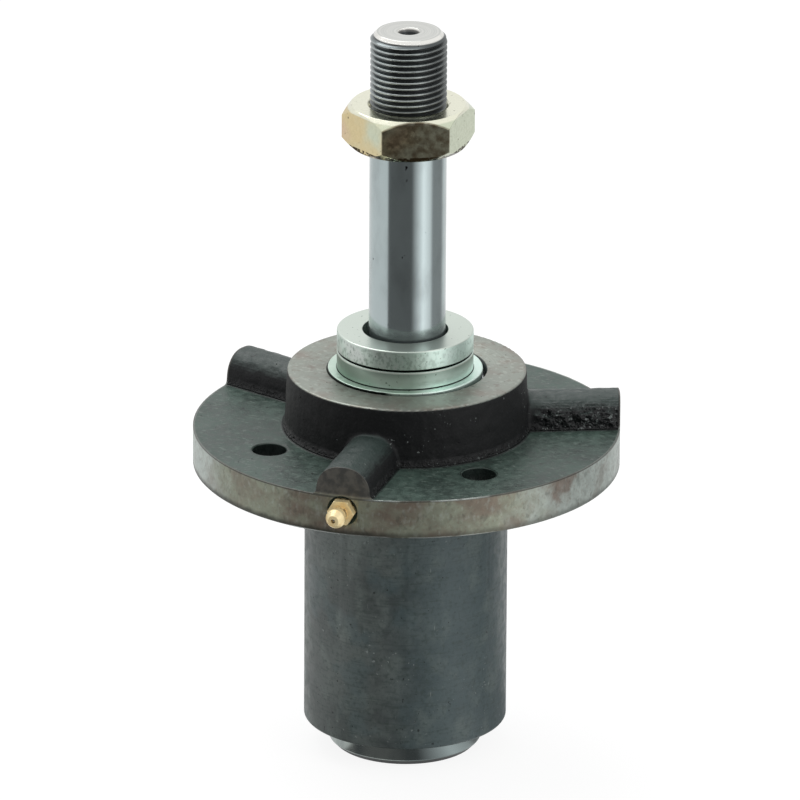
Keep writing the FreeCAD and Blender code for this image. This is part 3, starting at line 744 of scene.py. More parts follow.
CLEAR_ZINC = ZincFinish(
    name="clear_zinc", plate=linear(200, 215, 205), tint=linear(184, 206, 192), blush=linear(206, 213, 208),
    stain=linear(118, 137, 124), dirt_and_shade=linear(20, 27, 24), roughness=0.37, stain_share=0.6,
    blotch_stretch=(1, 1, 0.7), pale_and_highlight=linear(204, 214, 205), stained=(40.6, 46.3), pale_above=46.9,
    shaded=(36.5, 39.4), pale_roughness=0.3, metallic=0.85, lit_share=0.55, centre=(-0.5725, -0.1794),
    # The first two rings are painted shade, in the collar's groove and at its seam on the shield; the third
    # darkens the shield's rim on the left.
    dirt_and_shade_rings=((40.1, 0.6, 20.0, 22.3, 60.0), (33.7, 0.3, 21.9, 22.75, 60.0), (33.2, 0.5, 25.45, 26.0, 0.0)))
YELLOW_ZINC = ZincFinish(
    name="yellow_zinc", plate=linear(217, 200, 156), tint=linear(204, 211, 188), blush=linear(216, 192, 164),
    stain=linear(98, 86, 66), dirt_and_shade=linear(64, 54, 36), roughness=0.17, stain_share=0.06,
    blotch_stretch=(1, 1, 1), pale_and_highlight=linear(234, 234, 214), stained=(0.0, 200.0), pale_above=124.6, lean=0.012,
    # The nut's front face gets a painted dark reflection; its ring is real soiling at its lower edge.
    dirt_and_shade_rings=((111.8, 1.4, 18.8, 23.0, 60.0),), dark_reflection_side=(0.4163, -0.9092, 18.9))
FITTING_BRASS = BareMetalFinish(
    "fitting_brass", linear(254, 234, 182), linear(246, 218, 160), 0.3, metallic=0.35,
    darker_tint=linear(96, 72, 30), darker_at=((-73.6, 0.7), (-69.6, 0.5)))
BEARING_STEEL = BareMetalFinish("bearing_steel", linear(200, 202, 204), linear(180, 182, 186), 0.14)
CAGE_STEEL = BareMetalFinish("cage_steel", linear(170, 172, 174), linear(140, 142, 146), 0.32)
SPRING_STEEL = BareMetalFinish("spring_steel", linear(150, 150, 152), linear(112, 112, 116), 0.3)
SEAL_RUBBER = BareMetalFinish("seal_rubber", linear(30, 30, 31), linear(44, 44, 45), 0.55, metallic=0.0)


class GeometryTree(NodeTree):
    """One Geometry Nodes tree with named inputs, ending in plain geometry of one material."""

    def __init__(self, name: str) -> None:
        """Make the empty tree."""
        super().__init__(bpy.data.node_groups.new(name, "GeometryNodeTree"))
        self.values: dict[str, object] = {}
        for way in ("INPUT", "OUTPUT"):
            self.tree.interface.new_socket("Geometry", in_out=way, socket_type="NodeSocketGeometry")
        self.entry = self.add("NodeGroupInput")
        self.exit = self.add("NodeGroupOutput")

    def setting(self, name: str, value: object, kind: str = "Float") -> Socket:
        """Add a named input of a kind, Float, Int or Material, and the value that the modifier gives it."""
        socket = self.tree.interface.new_socket(name, in_out="INPUT", socket_type="NodeSocket" + kind)
        self.values[socket.identifier] = value
        return self.entry.outputs[name]

    def pick(self, share: Socket, a: object, b: object) -> Socket:
        """Mix two numbers, with b where share is 1."""
        return self.sum("ADD", a, self.sum("MULTIPLY", share, self.sum("SUBTRACT", b, a)))

    def clamp(self, value: Socket, low: object, high: object) -> Socket:
        """Keep a number between two others."""
        return self.sum("MINIMUM", self.sum("MAXIMUM", value, low), high)

    def end(self, geometry: Socket, material: Material) -> None:
        """End the tree with what it has made, all of one material."""
        real = self.add("GeometryNodeRealizeInstances", Geometry=geometry)
        finish = self.setting("Finish", material, "Material")
        painted = self.add("GeometryNodeSetMaterial", Geometry=real.outputs[0], Material=finish)
        self.join(painted.outputs[0], self.exit.inputs[0])

    def run(self, piece: Piece) -> None:
        """Put the tree on an object as a modifier, set its inputs and turn the result into plain mesh."""
        modifier = piece.modifiers.new(self.tree.name, "NODES")
        modifier.node_group = self.tree
        for identifier, value in self.values.items():
            modifier[identifier] = value
        settle(piece)


def new_piece(name: str, mesh: bpy.types.Mesh) -> Piece:
    """Link a new object at the origin, with a mesh that is in place."""
    piece = bpy.data.objects.new(name, mesh)
    bpy.context.scene.collection.objects.link(piece)
    return piece


def as_piece(name: str, body: BMesh) -> Piece:
    """Turn an edited mesh into a piece, and free it."""
    mesh = bpy.data.meshes.new(name)
    body.to_mesh(mesh)
    body.free()
    return new_piece(name, mesh)


def welded_copy(node: str) -> BMesh:
    """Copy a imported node's mesh, with its loose triangles joined."""
    body = bmesh.new()
    body.from_mesh(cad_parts[node].data)
    bmesh.ops.remove_doubles(body, verts=body.verts, dist=WELD)
    return body


def settle(piece: Piece) -> None:
    """Turn a piece's modifiers into plain mesh."""
    graph = bpy.context.evaluated_depsgraph_get()
    made = bpy.data.meshes.new_from_object(piece.evaluated_get(graph), depsgraph=graph)
    piece.modifiers.clear()
    piece.data = made
    made.name = piece.name


def smooth(piece: Piece, degrees: float = 35.0) -> None:
    """Shade a piece smooth, except along edges that turn more than an angle."""
    piece.data.shade_smooth()
    piece.data.set_sharp_from_angle(angle=math.radians(degrees))
    weighted = piece.modifiers.new("flat_faces", "WEIGHTED_NORMAL")
    weighted.keep_sharp = True
    settle(piece)


def rounded(corners: list[Triple], closed: bool, steps: int = 5) -> list[Span]:
    """Round the corners of a profile.

    Args:
        corners: Radius, height and corner radius of each corner, in order.
        closed: Whether the profile is a ring of corners, not a line that starts and ends on the axis.
        steps: Points on each rounded corner.

    Returns:
        Radius and height of each point.
    """
    points = []
    count = len(corners)
    for index, (radius, height, bend) in enumerate(corners):
        here = Vector((radius, height))
        if bend == 0 or (not closed and index in (0, count - 1)):
            points.append(tuple(here))
            continue
        back = (Vector(corners[index - 1][:2]) - here).normalized()
        ahead = (Vector(corners[(index + 1) % count][:2]) - here).normalized()
        half = back.angle(ahead) / 2
        centre = here + (back + ahead).normalized() * (bend / math.sin(half))
        start = here + back * (bend / math.tan(half)) - centre
        end = here + ahead * (bend / math.tan(half)) - centre
        for step in range(steps + 1):
            points.append(tuple(centre + start.slerp(end, step / steps) * bend))
    return points


def lathe(name: str, corners: list[Triple], closed: bool = False, segments: int = 160,
          shift: Span = (0.0, 0.0)) -> Piece:
    """Turn a profile about the shaft's axis.

    Args:
        name: The piece's name.
        corners: Radius, height and corner radius of each corner, in millimetres.
        closed: Whether the profile is a closed ring, not a line from axis to axis.
        segments: Facets round the axis.
        shift: How far the axis is moved in X and Y, in millimetres.

    Returns:
        The turned piece.
    """
    body = bmesh.new()
    rings = []
    across, along = shift
    for radius, height in rounded(corners, closed):
        if radius == 0:
            rings.append([body.verts.new((across * MM, along * MM, height * MM))] * segments)
            continue
        ring = []
        for step in range(segments):
            angle = 2 * math.pi * step / segments
            x = (radius * math.cos(angle) + across) * MM
            y = (radius * math.sin(angle) + along) * MM
            ring.append(body.verts.new((x, y, height * MM)))
        rings.append(ring)
    for low, high in zip(rings, rings[1:] + (rings[:1] if closed else [])):
        for step in range(segments):
            around = (step + 1) % segments
            corner = dict.fromkeys([low[step], low[around], high[around], high[step]])
            body.faces.new(list(corner))
    bmesh.ops.recalc_face_normals(body, faces=body.faces)
    return as_piece(name, body)


def dress(piece: Piece, material: Material, body: Body, slot: Slot, *nodes: str) -> None:
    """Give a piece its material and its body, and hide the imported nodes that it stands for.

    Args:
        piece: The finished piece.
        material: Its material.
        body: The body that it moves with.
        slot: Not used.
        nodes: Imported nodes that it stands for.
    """
    piece.data.materials.clear()
    piece.data.materials.append(material)
    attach(piece, body.value)
    if nodes:
        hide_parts(*nodes)
    LOG.info("%s: %d faces, on %s", piece.name, len(piece.data.polygons), body.value)


@dataclass
class HelicalThread:
    """A screw thread as a closed sleeve, whose rows of points follow the helix.

    Its depth is added to the base radius at the crests, so a negative one stands inwards, as in a hole.
    At its top, a thread on a shaft narrows to the end radius and one that opens widens to it.
    """

    name: str
    base_radius: float
    depth: float
    wall_radius: float
    bottom: float
    top: float
    end_radius: float
    pitch: float = 2.0
    run_out: float = 3.0
    rows_per_turn: int = 12
    segments: int = 112
    opens: bool = False
    steepness: float = 1.5
    sharpest: float = 66.0

    def build(self, material: Material) -> Piece:
        """Make the thread as a plain mesh in a finish."""
        tree = GeometryTree(self.name)
        self.fill(tree, material)
        piece = new_piece(self.name, bpy.data.meshes.new(self.name))
        tree.run(piece)
        body = bmesh.new()
        body.from_mesh(piece.data)
        bmesh.ops.dissolve_degenerate(body, edges=body.edges, dist=WELD)
        bmesh.ops.recalc_face_normals(body, faces=body.faces)
        body.to_mesh(piece.data)
        body.free()
        smooth(piece, self.sharpest)
        return piece

    def fill(self, tree: GeometryTree, material: Material) -> None:
        """Fill the tree: a grid whose rows climb the helix, come back down its wall and close on the first.

        Args:
            tree: The empty tree.
            material: The finish.
        """
        turns = (self.top - self.bottom) / self.pitch + 1
        rows = math.ceil(self.rows_per_turn * turns)
        sizes = {"Base Radius": self.base_radius, "Depth": self.depth, "Wall Radius": self.wall_radius,
                 "Pitch": self.pitch, "Bottom": self.bottom, "Top": self.top, "End Radius": self.end_radius,
                 "Run Out": self.run_out}
        settings = [tree.setting(name, size * MM) for name, size in sizes.items()]
        base, depth, wall, pitch, bottom, top, end, run_out = settings
        columns = tree.setting("Segments", self.segments + 1, "Int")
        lines = tree.setting("Rows", rows + 4, "Int")
        grid = tree.add("GeometryNodeMeshGrid", Size_X=1.0, Size_Y=1.0, Vertices_X=columns, Vertices_Y=lines)
        place = tree.add("ShaderNodeSeparateXYZ", Vector=tree.chain("GeometryNodeInputPosition"))
        turn = tree.sum("ADD", place.outputs["X"], 0.5)
        row = tree.sum("ROUND", tree.sum("MULTIPLY", tree.sum("ADD", place.outputs["Y"], 0.5), rows + 3))
        wrapped = tree.sum("GREATER_THAN", row, rows + 2.5)
        inner = tree.sum("SUBTRACT", tree.sum("GREATER_THAN", row, rows + 0.5), wrapped)
        inner_low = tree.sum("SUBTRACT", tree.sum("GREATER_THAN", row, rows + 1.5), wrapped)
        lap = tree.sum("DIVIDE", tree.pick(wrapped, row, 0.0), self.rows_per_turn)
        climb = tree.sum("MULTIPLY", tree.sum("SUBTRACT", tree.sum("ADD", lap, turn), 1.0), pitch)
        height = tree.clamp(tree.sum("ADD", climb, bottom), bottom, top)
        wave = tree.sum("SUBTRACT", tree.sum("MULTIPLY", tree.sum("FRACT", lap), 2.0), 1.0)
        wave = tree.sum("SUBTRACT", tree.sum("ABSOLUTE", wave), 0.5)
        ridge = tree.clamp(tree.sum("ADD", tree.sum("MULTIPLY", wave, self.steepness), 0.5), 0.0, 1.0)
        risen = tree.sum("MINIMUM", tree.sum("DIVIDE", tree.sum("SUBTRACT", height, bottom), run_out), 1.0)
        ridge = tree.sum("ADD", tree.sum("MULTIPLY", ridge, risen), tree.sum("SUBTRACT", 1.0, risen))
        radius = tree.sum("ADD", base, tree.sum("MULTIPLY", ridge, depth))
        below = tree.sum("SUBTRACT", top, height)
        if self.opens:
            radius = tree.sum("MAXIMUM", radius, tree.sum("SUBTRACT", end, below))
        elif self.depth > 0:
            radius = tree.sum("MINIMUM", radius, tree.sum("ADD", end, below))
        radius = tree.pick(inner, radius, wall)
        height = tree.pick(inner, height, tree.pick(inner_low, top, bottom))
        angle = tree.sum("MULTIPLY", turn, 2 * math.pi)
        x, y = (tree.sum("MULTIPLY", radius, tree.sum(wave_kind, angle)) for wave_kind in ("COSINE", "SINE"))
        where = tree.chain("ShaderNodeCombineXYZ", x, y, height)
        moved = tree.add("GeometryNodeSetPosition", Geometry=grid.outputs["Mesh"], Position=where)
        merged = tree.add("GeometryNodeMergeByDistance", Geometry=moved.outputs[0], Distance=WELD)
        tree.end(merged.outputs[0], material)


@dataclass
class HousingCasting:
    """Cast housing: a finely meshed copy of its solid, with the sand's relief on what was left as cast."""

    boss_foot_radius: float = 40.4
    edge_break: float = 0.35
    edge_from: float = 12.0
    edge_slack: float = 0.02
    edge_angle: float = 50.0
    mesh_edge: float = 1.0
    mesh_rounds: int = 9
    mesh_from: float = 38.5
    slack: float = 0.05
    rim_margin: float = 0.7
    top_margin: float = 0.8
    foot_margin: float = 3.0
    fade: float = 1.2
    broad_relief: float = 0.16
    broad_waves: float = 0.27
    fine_relief: float = 0.07
    fine_waves: float = 0.85
    flat_share: float = 0.35
    full_rise: float = 2.0
    right_rib: float = 42.0
    root_lumps: float = 3.0
    root_reach: float = 3.0
    root_fade: float = 1.5
    slope_from: float = 0.3
    slope_range: float = 0.5
    rib_lumps: float = 0.5
    rib_waves: float = 0.36
    rib_reach: float = 7.0
    hole_circle: float = 50.8
    hole_radius: float = 6.4
    grain_density: float = 9.0
    grain_radius: float = 0.34
    grain_roughness: float = 0.9
    grain_band: Span = (0.15, 2.2)
    grain_share_low: float = 0.05
    grain_share_high: float = 0.16
    smallest_grain: Triple = (0.4, 0.4, 0.25)
    largest_grain: Triple = (1.3, 1.1, 0.6)

    def build(self, material: Material) -> None:
        """Make the casting and the sand grains on it, in the housing's finish."""
        body = welded_copy("spindle_housing")
        self.break_rim_edge(body)
        self.refine(body)
        self.roughen(body)
        self.mark_level(body)
        piece = as_piece("housing_casting", body)
        smooth(piece, 40.0)
        dress(piece, material, Body.HOUSING, Slot.CAST_HOUSING, "spindle_housing")
        self.scatter_grains(piece, material)

    def break_rim_edge(self, body: BMesh) -> None:
        """Bevel the flange's upper edge and the ribs' ends a little."""
        rim = (FLANGE_RADIUS - self.edge_slack) * MM
        edges = []
        for edge in body.edges:
            on_rim = all(v.co.xy.length > rim and v.co.z > self.edge_from * MM for v in edge.verts)
            if not on_rim or len(edge.link_faces) != 2:
                continue
            if edge.calc_face_angle() > math.radians(self.edge_angle):
                edges.append(edge)
        bmesh.ops.bevel(body, geom=edges, offset=self.edge_break * MM, offset_type="OFFSET", segments=2,
                        profile=0.5, affect="EDGES", clamp_overlap=True)
        bmesh.ops.remove_doubles(body, verts=body.verts, dist=WELD)

    def as_cast(self, point: Vector) -> float:
        """How rough the casting is at a point of its surface, from 0, machined, to 1, as cast."""
        radius = point.xy.length / MM
        height = point.z / MM
        if height <= FLANGE_TOP - self.slack:
            return 0.0
        share = portion(FLANGE_RADIUS - self.rim_margin - radius, self.fade)
        share *= portion(BOSS_TOP - self.top_margin - height, self.fade)
        share *= portion(radius - self.boss_foot_radius + self.foot_margin, 1.0)
        for side in (-1, 1):
            for end in (-1, 1):
                hole = Vector((side, end)) * self.hole_circle * MM / math.sqrt(2)
                share *= portion((point.xy - hole).length / MM - self.hole_radius, 1.0)
        return share

    def refine(self, body: BMesh) -> None:
        """Split the long edges of the as-cast faces until the relief can show on them."""
        for _ in range(self.mesh_rounds):
            wanted = []
            for edge in body.edges:
                if edge.calc_length() < self.mesh_edge * MM:
                    continue
                heights = [v.co.z / MM for v in edge.verts]
                nearest = min(v.co.xy.length for v in edge.verts) / MM
                raised = min(heights) > FLANGE_TOP - self.slack and max(heights) < BOSS_TOP - self.slack
                if raised and nearest > self.mesh_from:
                    wanted.append(edge)
            if not wanted:
                break
            bmesh.ops.subdivide_edges(body, edges=wanted, cuts=1)
            bmesh.ops.triangulate(body, faces=[f for f in body.faces if len(f.verts) > 3])

    def roughen(self, body: BMesh) -> None:
        """Move the as-cast points in and out along their normals."""
        body.normal_update()
        moves = []
        for vertex in body.verts:
            share = self.as_cast(vertex.co)
            if share == 0:
                continue
            place = vertex.co / MM
            on_side = min(1.0, max(self.flat_share, (place.z - FLANGE_TOP) / self.full_rise))
            lift = noise.noise(place * self.broad_waves) * self.broad_relief
            lift += noise.noise(place * self.fine_waves) * self.fine_relief
            root = self.near_root(vertex)
            lift *= 1 + self.root_lumps * root
            if place.x > self.right_rib:
                lift += noise.noise(place * self.rib_waves) * self.rib_lumps * root
            moves.append((vertex, vertex.normal * (lift * share * on_side * MM)))
        for vertex, move in moves:
            vertex.co += move

    def near_root(self, vertex: bmesh.types.BMVert) -> float:
        """How near a point is to the foot of the boss or of a rib, where the sand broke away, from 0 to 1."""
        rise = vertex.co.z / MM - FLANGE_TOP
        steep = 1 - portion(vertex.normal.z - self.slope_from, self.slope_range)
        reach = self.rib_reach if vertex.co.x > self.right_rib * MM else self.root_reach
        return steep * portion(reach - rise, self.root_fade)

    def mark_level(self, body: BMesh) -> None:
        """Store at each point how far its face looks up, for the finish."""
        body.normal_update()
        layer = body.verts.layers.float.new("level")
        for vertex in body.verts:
            vertex[layer] = max(0.0, vertex.normal.z)

    def grain_bed(self, casting: Piece) -> Piece:
        """Copy the as-cast faces of the casting, with a share of the grains that lie at each point."""
        body = bmesh.new()
        body.from_mesh(casting.data)
        bare = [f for f in body.faces if self.as_cast(f.calc_center_median()) < self.grain_roughness]
        bmesh.ops.delete(body, geom=bare, context="FACES")
        bed = as_piece("casting_grains", body)
        weight = bed.data.attributes.new("grain", "FLOAT", "POINT")
        low, high = self.grain_band
        for vertex, share in zip(bed.data.vertices, weight.data):
            rise = vertex.co.z / MM - FLANGE_TOP
            outside = self.grain_share_high if rise > high else self.grain_share_low
            share.value = 1.0 if low < rise < high else outside
        return bed

    def scatter_grains(self, casting: Piece, material: Material) -> None:
        """Scatter burnt-on sand grains over the rough side, most where the ribs and boss meet the flange.

        Args:
            casting: The housing's piece.
            material: The housing's finish.
        """
        bed = self.grain_bed(casting)
        tree = GeometryTree("casting_grains")
        density = tree.setting("Grains per Square Metre", self.grain_density * 10000)
        radius = tree.setting("Grain Radius", self.grain_radius * MM)
        seed = tree.setting("Seed", 4, "Int")
        named = tree.add("GeometryNodeInputNamedAttribute", Name="grain")
        named.data_type = "FLOAT"
        amount = tree.sum("MULTIPLY", named.outputs["Attribute"], density)
        surface = tree.entry.outputs[0]
        points = tree.add("GeometryNodeDistributePointsOnFaces", Mesh=surface, Density=amount, Seed=seed)
        grain = tree.add("GeometryNodeMeshIcoSphere", Radius=radius, Subdivisions=1)
        size = tree.tree.nodes.new("FunctionNodeRandomValue")
        size.data_type = "FLOAT_VECTOR"
        for name, value in (("Min", self.smallest_grain), ("Max", self.largest_grain), ("Seed", 9)):
            tree.join(value, size.inputs[name])
        placed = tree.add(
            "GeometryNodeInstanceOnPoints", Points=points.outputs["Points"], Instance=grain.outputs["Mesh"],
            Rotation=points.outputs["Rotation"], Scale=size.outputs["Value"])
        tree.end(placed.outputs[0], material)
        tree.run(bed)
        smooth(bed, 60.0)
        dress(bed, material, Body.HOUSING, Slot.CAST_HOUSING)


@dataclass
class SpindleShaft:
    """Ground shaft with its hub, the screw thread at its top and the tapped hole for the blade bolt."""

    radius: float = 12.7
    journal_radius: float = 12.67
    journal_lead: float = 0.8
    thread_run_out: float = 0.8
    thread_lead: float = 0.6
    thread_wall: float = 0.4
    thread_end: float = 0.75
    crest_radius: float = 12.6
    thread_depth: float = 1.2
    end_radius: float = 10.4
    centre_mouth: float = 3.75
    centre_pilot: float = 1.6
    centre_cone: float = 3.72
    centre_depth: float = 8.2
    hub_radius: float = 25.3
    hub_chamfer: float = 2.0
    hub_top: float = -87.8
    hub_bottom: float = -98.5
    race_seat: float = -86.6
    race_shoulder: float = 16.75
    hole_radius: float = 8.0
    hole_mouth: float = 0.5
    hole_thread: float = 0.8
    hole_base: float = 0.05
    hole_wall: float = 0.3
    hole_lead: float = 0.9
    hole_rest: float = 1.0
    hole_pitch: float = 1.5
    hole_depth: float = 38.0
    hole_point: float = 4.0

    def build(self, material: Material) -> None:
        """Make the turned shaft and both threads.

        Args:
            material: The shaft's finish.
        """
        core = self.crest_radius - self.thread_depth
        hole_end = self.hub_bottom + self.hole_depth
        shaft = lathe("shaft_turned", [
            (0, hole_end + self.hole_point, 0),
            (self.hole_radius, hole_end, 0),
            (self.hole_radius, self.hub_bottom + self.hole_mouth, 0.2),
            (self.hole_radius + self.hole_mouth, self.hub_bottom, 0.2),
            (self.hub_radius - self.hub_chamfer, self.hub_bottom, 0.5),
            (self.hub_radius, self.hub_bottom + self.hub_chamfer, 0.8),
            (self.hub_radius, self.hub_top, 0.3),
            (self.race_shoulder, self.hub_top, 0),
            (self.race_shoulder, self.race_seat, 0),
            (self.radius, self.race_seat, 0),
            (self.radius, COLLAR_TOP - self.journal_lead, 0),
            (self.journal_radius, COLLAR_TOP, 0),
            (self.journal_radius, THREAD_BOTTOM - self.thread_run_out, 0),
            (self.crest_radius, THREAD_BOTTOM, 0),
            (core, THREAD_BOTTOM + self.thread_lead, 0),
            (core, SHAFT_RISE - (core - self.end_radius), 0),
            (self.end_radius, SHAFT_RISE, 0.25),
            (self.centre_mouth, SHAFT_RISE, 0.2),
            (self.centre_pilot, SHAFT_RISE - self.centre_cone, 0),
            (self.centre_pilot, SHAFT_RISE - self.centre_depth, 0),
            (0, SHAFT_RISE - self.centre_depth - self.centre_pilot, 0),
        ])
        smooth(shaft)
        dress(shaft, material, Body.SHAFT, Slot.GROUND_STEEL, "spindle_shaft")
        screw = HelicalThread(
            "shaft_thread", core, self.thread_depth, core - self.thread_wall, THREAD_BOTTOM,
            SHAFT_RISE - self.thread_end, self.end_radius + self.thread_end).build(material)
        dress(screw, material, Body.SHAFT, Slot.GROUND_STEEL)
        tapped = HelicalThread(
            "blade_hole_thread", self.hole_radius + self.hole_base, -self.hole_thread,
            self.hole_radius + self.hole_wall, self.hub_bottom + self.hole_lead, hole_end - self.hole_rest,
            end_radius=0.0, pitch=self.hole_pitch, rows_per_turn=6, segments=64).build(material)
        dress(tapped, material, Body.SHAFT, Slot.GROUND_STEEL)


@dataclass
class CollarStack:
    """Dust shield and grooved collar, loose on the shaft and a little off its axis."""

    offset: float = 0.6
    offset_angle: float = 197.4
    bore: float = 14.1
    shield_bottom: float = 31.3
    shield_top: float = 33.7
    shield_radius: float = 25.65
    foot_bottom: float = 30.1
    foot_radius: float = 16.15
    collar_radius: float = 22.55
    groove: float = 40.1
    groove_half: float = 0.55
    groove_depth: float = 0.8

    def build(self, material: Material) -> None:
        """Make both rings.

        Args:
            material: Their zinc finish.
        """
        angle = math.radians(self.offset_angle)
        shift = (math.cos(angle) * self.offset, math.sin(angle) * self.offset)
        shield = lathe("dust_shield_ring", [
            (self.bore, self.foot_bottom, 0),
            (self.foot_radius, self.foot_bottom, 0.2),
            (self.foot_radius, self.shield_bottom, 0),
            (self.shield_radius, self.shield_bottom, 0.2),
            (self.shield_radius, self.shield_top, 0.5),
            (self.bore, self.shield_top, 0),
        ], closed=True, shift=shift)
        smooth(shield)
        dress(shield, material, Body.SHAFT, Slot.CLEAR_ZINC, "dust_shield")
        collar = lathe("collar_ring", [
            (self.bore, self.shield_top, 0),
            (self.collar_radius, self.shield_top, 0.4),
            (self.collar_radius, self.groove - self.groove_half, 0.15),
            (self.collar_radius - self.groove_depth, self.groove, 0),
            (self.collar_radius, self.groove + self.groove_half, 0.15),
            (self.collar_radius, COLLAR_TOP, 0.55),
            (self.bore, COLLAR_TOP, 0.3),
        ], closed=True, shift=shift)
        smooth(collar)
        dress(collar, material, Body.SHAFT, Slot.CLEAR_ZINC, "grooved_collar")


@dataclass
class EdgedCopy:
    """A hexagonal piece: its solid with the corners broken."""

    name: str
    node: str
    body: Body
    slot: Slot
    edge_break: float
    sharpest: float = 25.0
    flattest: float = 0.6

    def build(self, material: Material) -> None:
        """Make the piece in its finish."""
        body = welded_copy(self.node)
        flat = math.radians(self.flattest)
        bmesh.ops.dissolve_limit(body, angle_limit=flat, verts=body.verts, edges=body.edges)
        piece = as_piece(self.name, body)
        bevel = piece.modifiers.new("corners", "BEVEL")
        bevel.width = self.edge_break * MM
        bevel.segments = 2
        bevel.limit_method = "ANGLE"
        bevel.angle_limit = math.radians(self.sharpest)
        settle(piece)
        smooth(piece)
        dress(piece, material, self.body, self.slot, self.node)


@dataclass
class JamNut:
    """Hexagonal nut, with a screw thread in its bore that fits the shaft's, whole turns above its foot."""

    edge_break: float = 0.25
    thread_core: float = 11.4
    thread_depth: float = 1.2
    clearance: float = 0.12
    wall_radius: float = 13.1
    thread_bottom: float = 112.8
    thread_top: float = 124.6
    open_end: float = 12.75

    def build(self, material: Material) -> None:
        """Make the hexagon and the thread in their zinc finish."""
        EdgedCopy("jam_nut_hexagon", "jam_nut", Body.NUT, Slot.YELLOW_ZINC, self.edge_break).build(material)
        thread = HelicalThread(
            "jam_nut_thread", self.thread_core + self.clearance, self.thread_depth, self.wall_radius,
            self.thread_bottom, self.thread_top, self.open_end, opens=True).build(material)
        dress(thread, material, Body.NUT, Slot.YELLOW_ZINC)


@dataclass
class CheckSpring:
    """Spring of the grease fitting's check valve: one end rests on a ledge, the other gives with the ball."""

    joint: str = "check_ball_press"
    free_end: float = -77.634
    fixed_end: float = -70.8
    height: float = 8.4
    travel: float = 1.0
    slack: float = 0.06

    def build(self, material: Material) -> None:
        """Make the coil in its finish, on a mesh of its own."""
        piece = as_piece("check_spring_coil", welded_copy("check_spring"))
        smooth(piece, 60.0)
        dress(piece, material, Body.HOUSING, Slot.SPRING_STEEL, "check_spring")
        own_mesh(piece)


@dataclass
class InnerPieces:
    """Bearing pieces and the check valve's ball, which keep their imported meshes."""

    finishes: dict[str, BareMetalFinish] = field(default_factory=lambda: {
        "race": BEARING_STEEL, "balls": BEARING_STEEL, "check_ball": BEARING_STEEL, "cage": CAGE_STEEL,
        "seal": SEAL_RUBBER, "spacer_sleeve": CAGE_STEEL})

    def dress(self) -> None:
        """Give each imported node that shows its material."""
        made = {}
        for node, piece in sorted(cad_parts.items()):
            kind = next((kind for kind in self.finishes if kind in node), None)
            if kind is None:
                continue
            finish = self.finishes[kind]
            if finish.name not in made:
                made[finish.name] = finish.paint()
            piece.material_slots[0].link = "OBJECT"
            piece.material_slots[0].material = made[finish.name]
            LOG.info("%s: packed mesh, %s", node, finish.name)


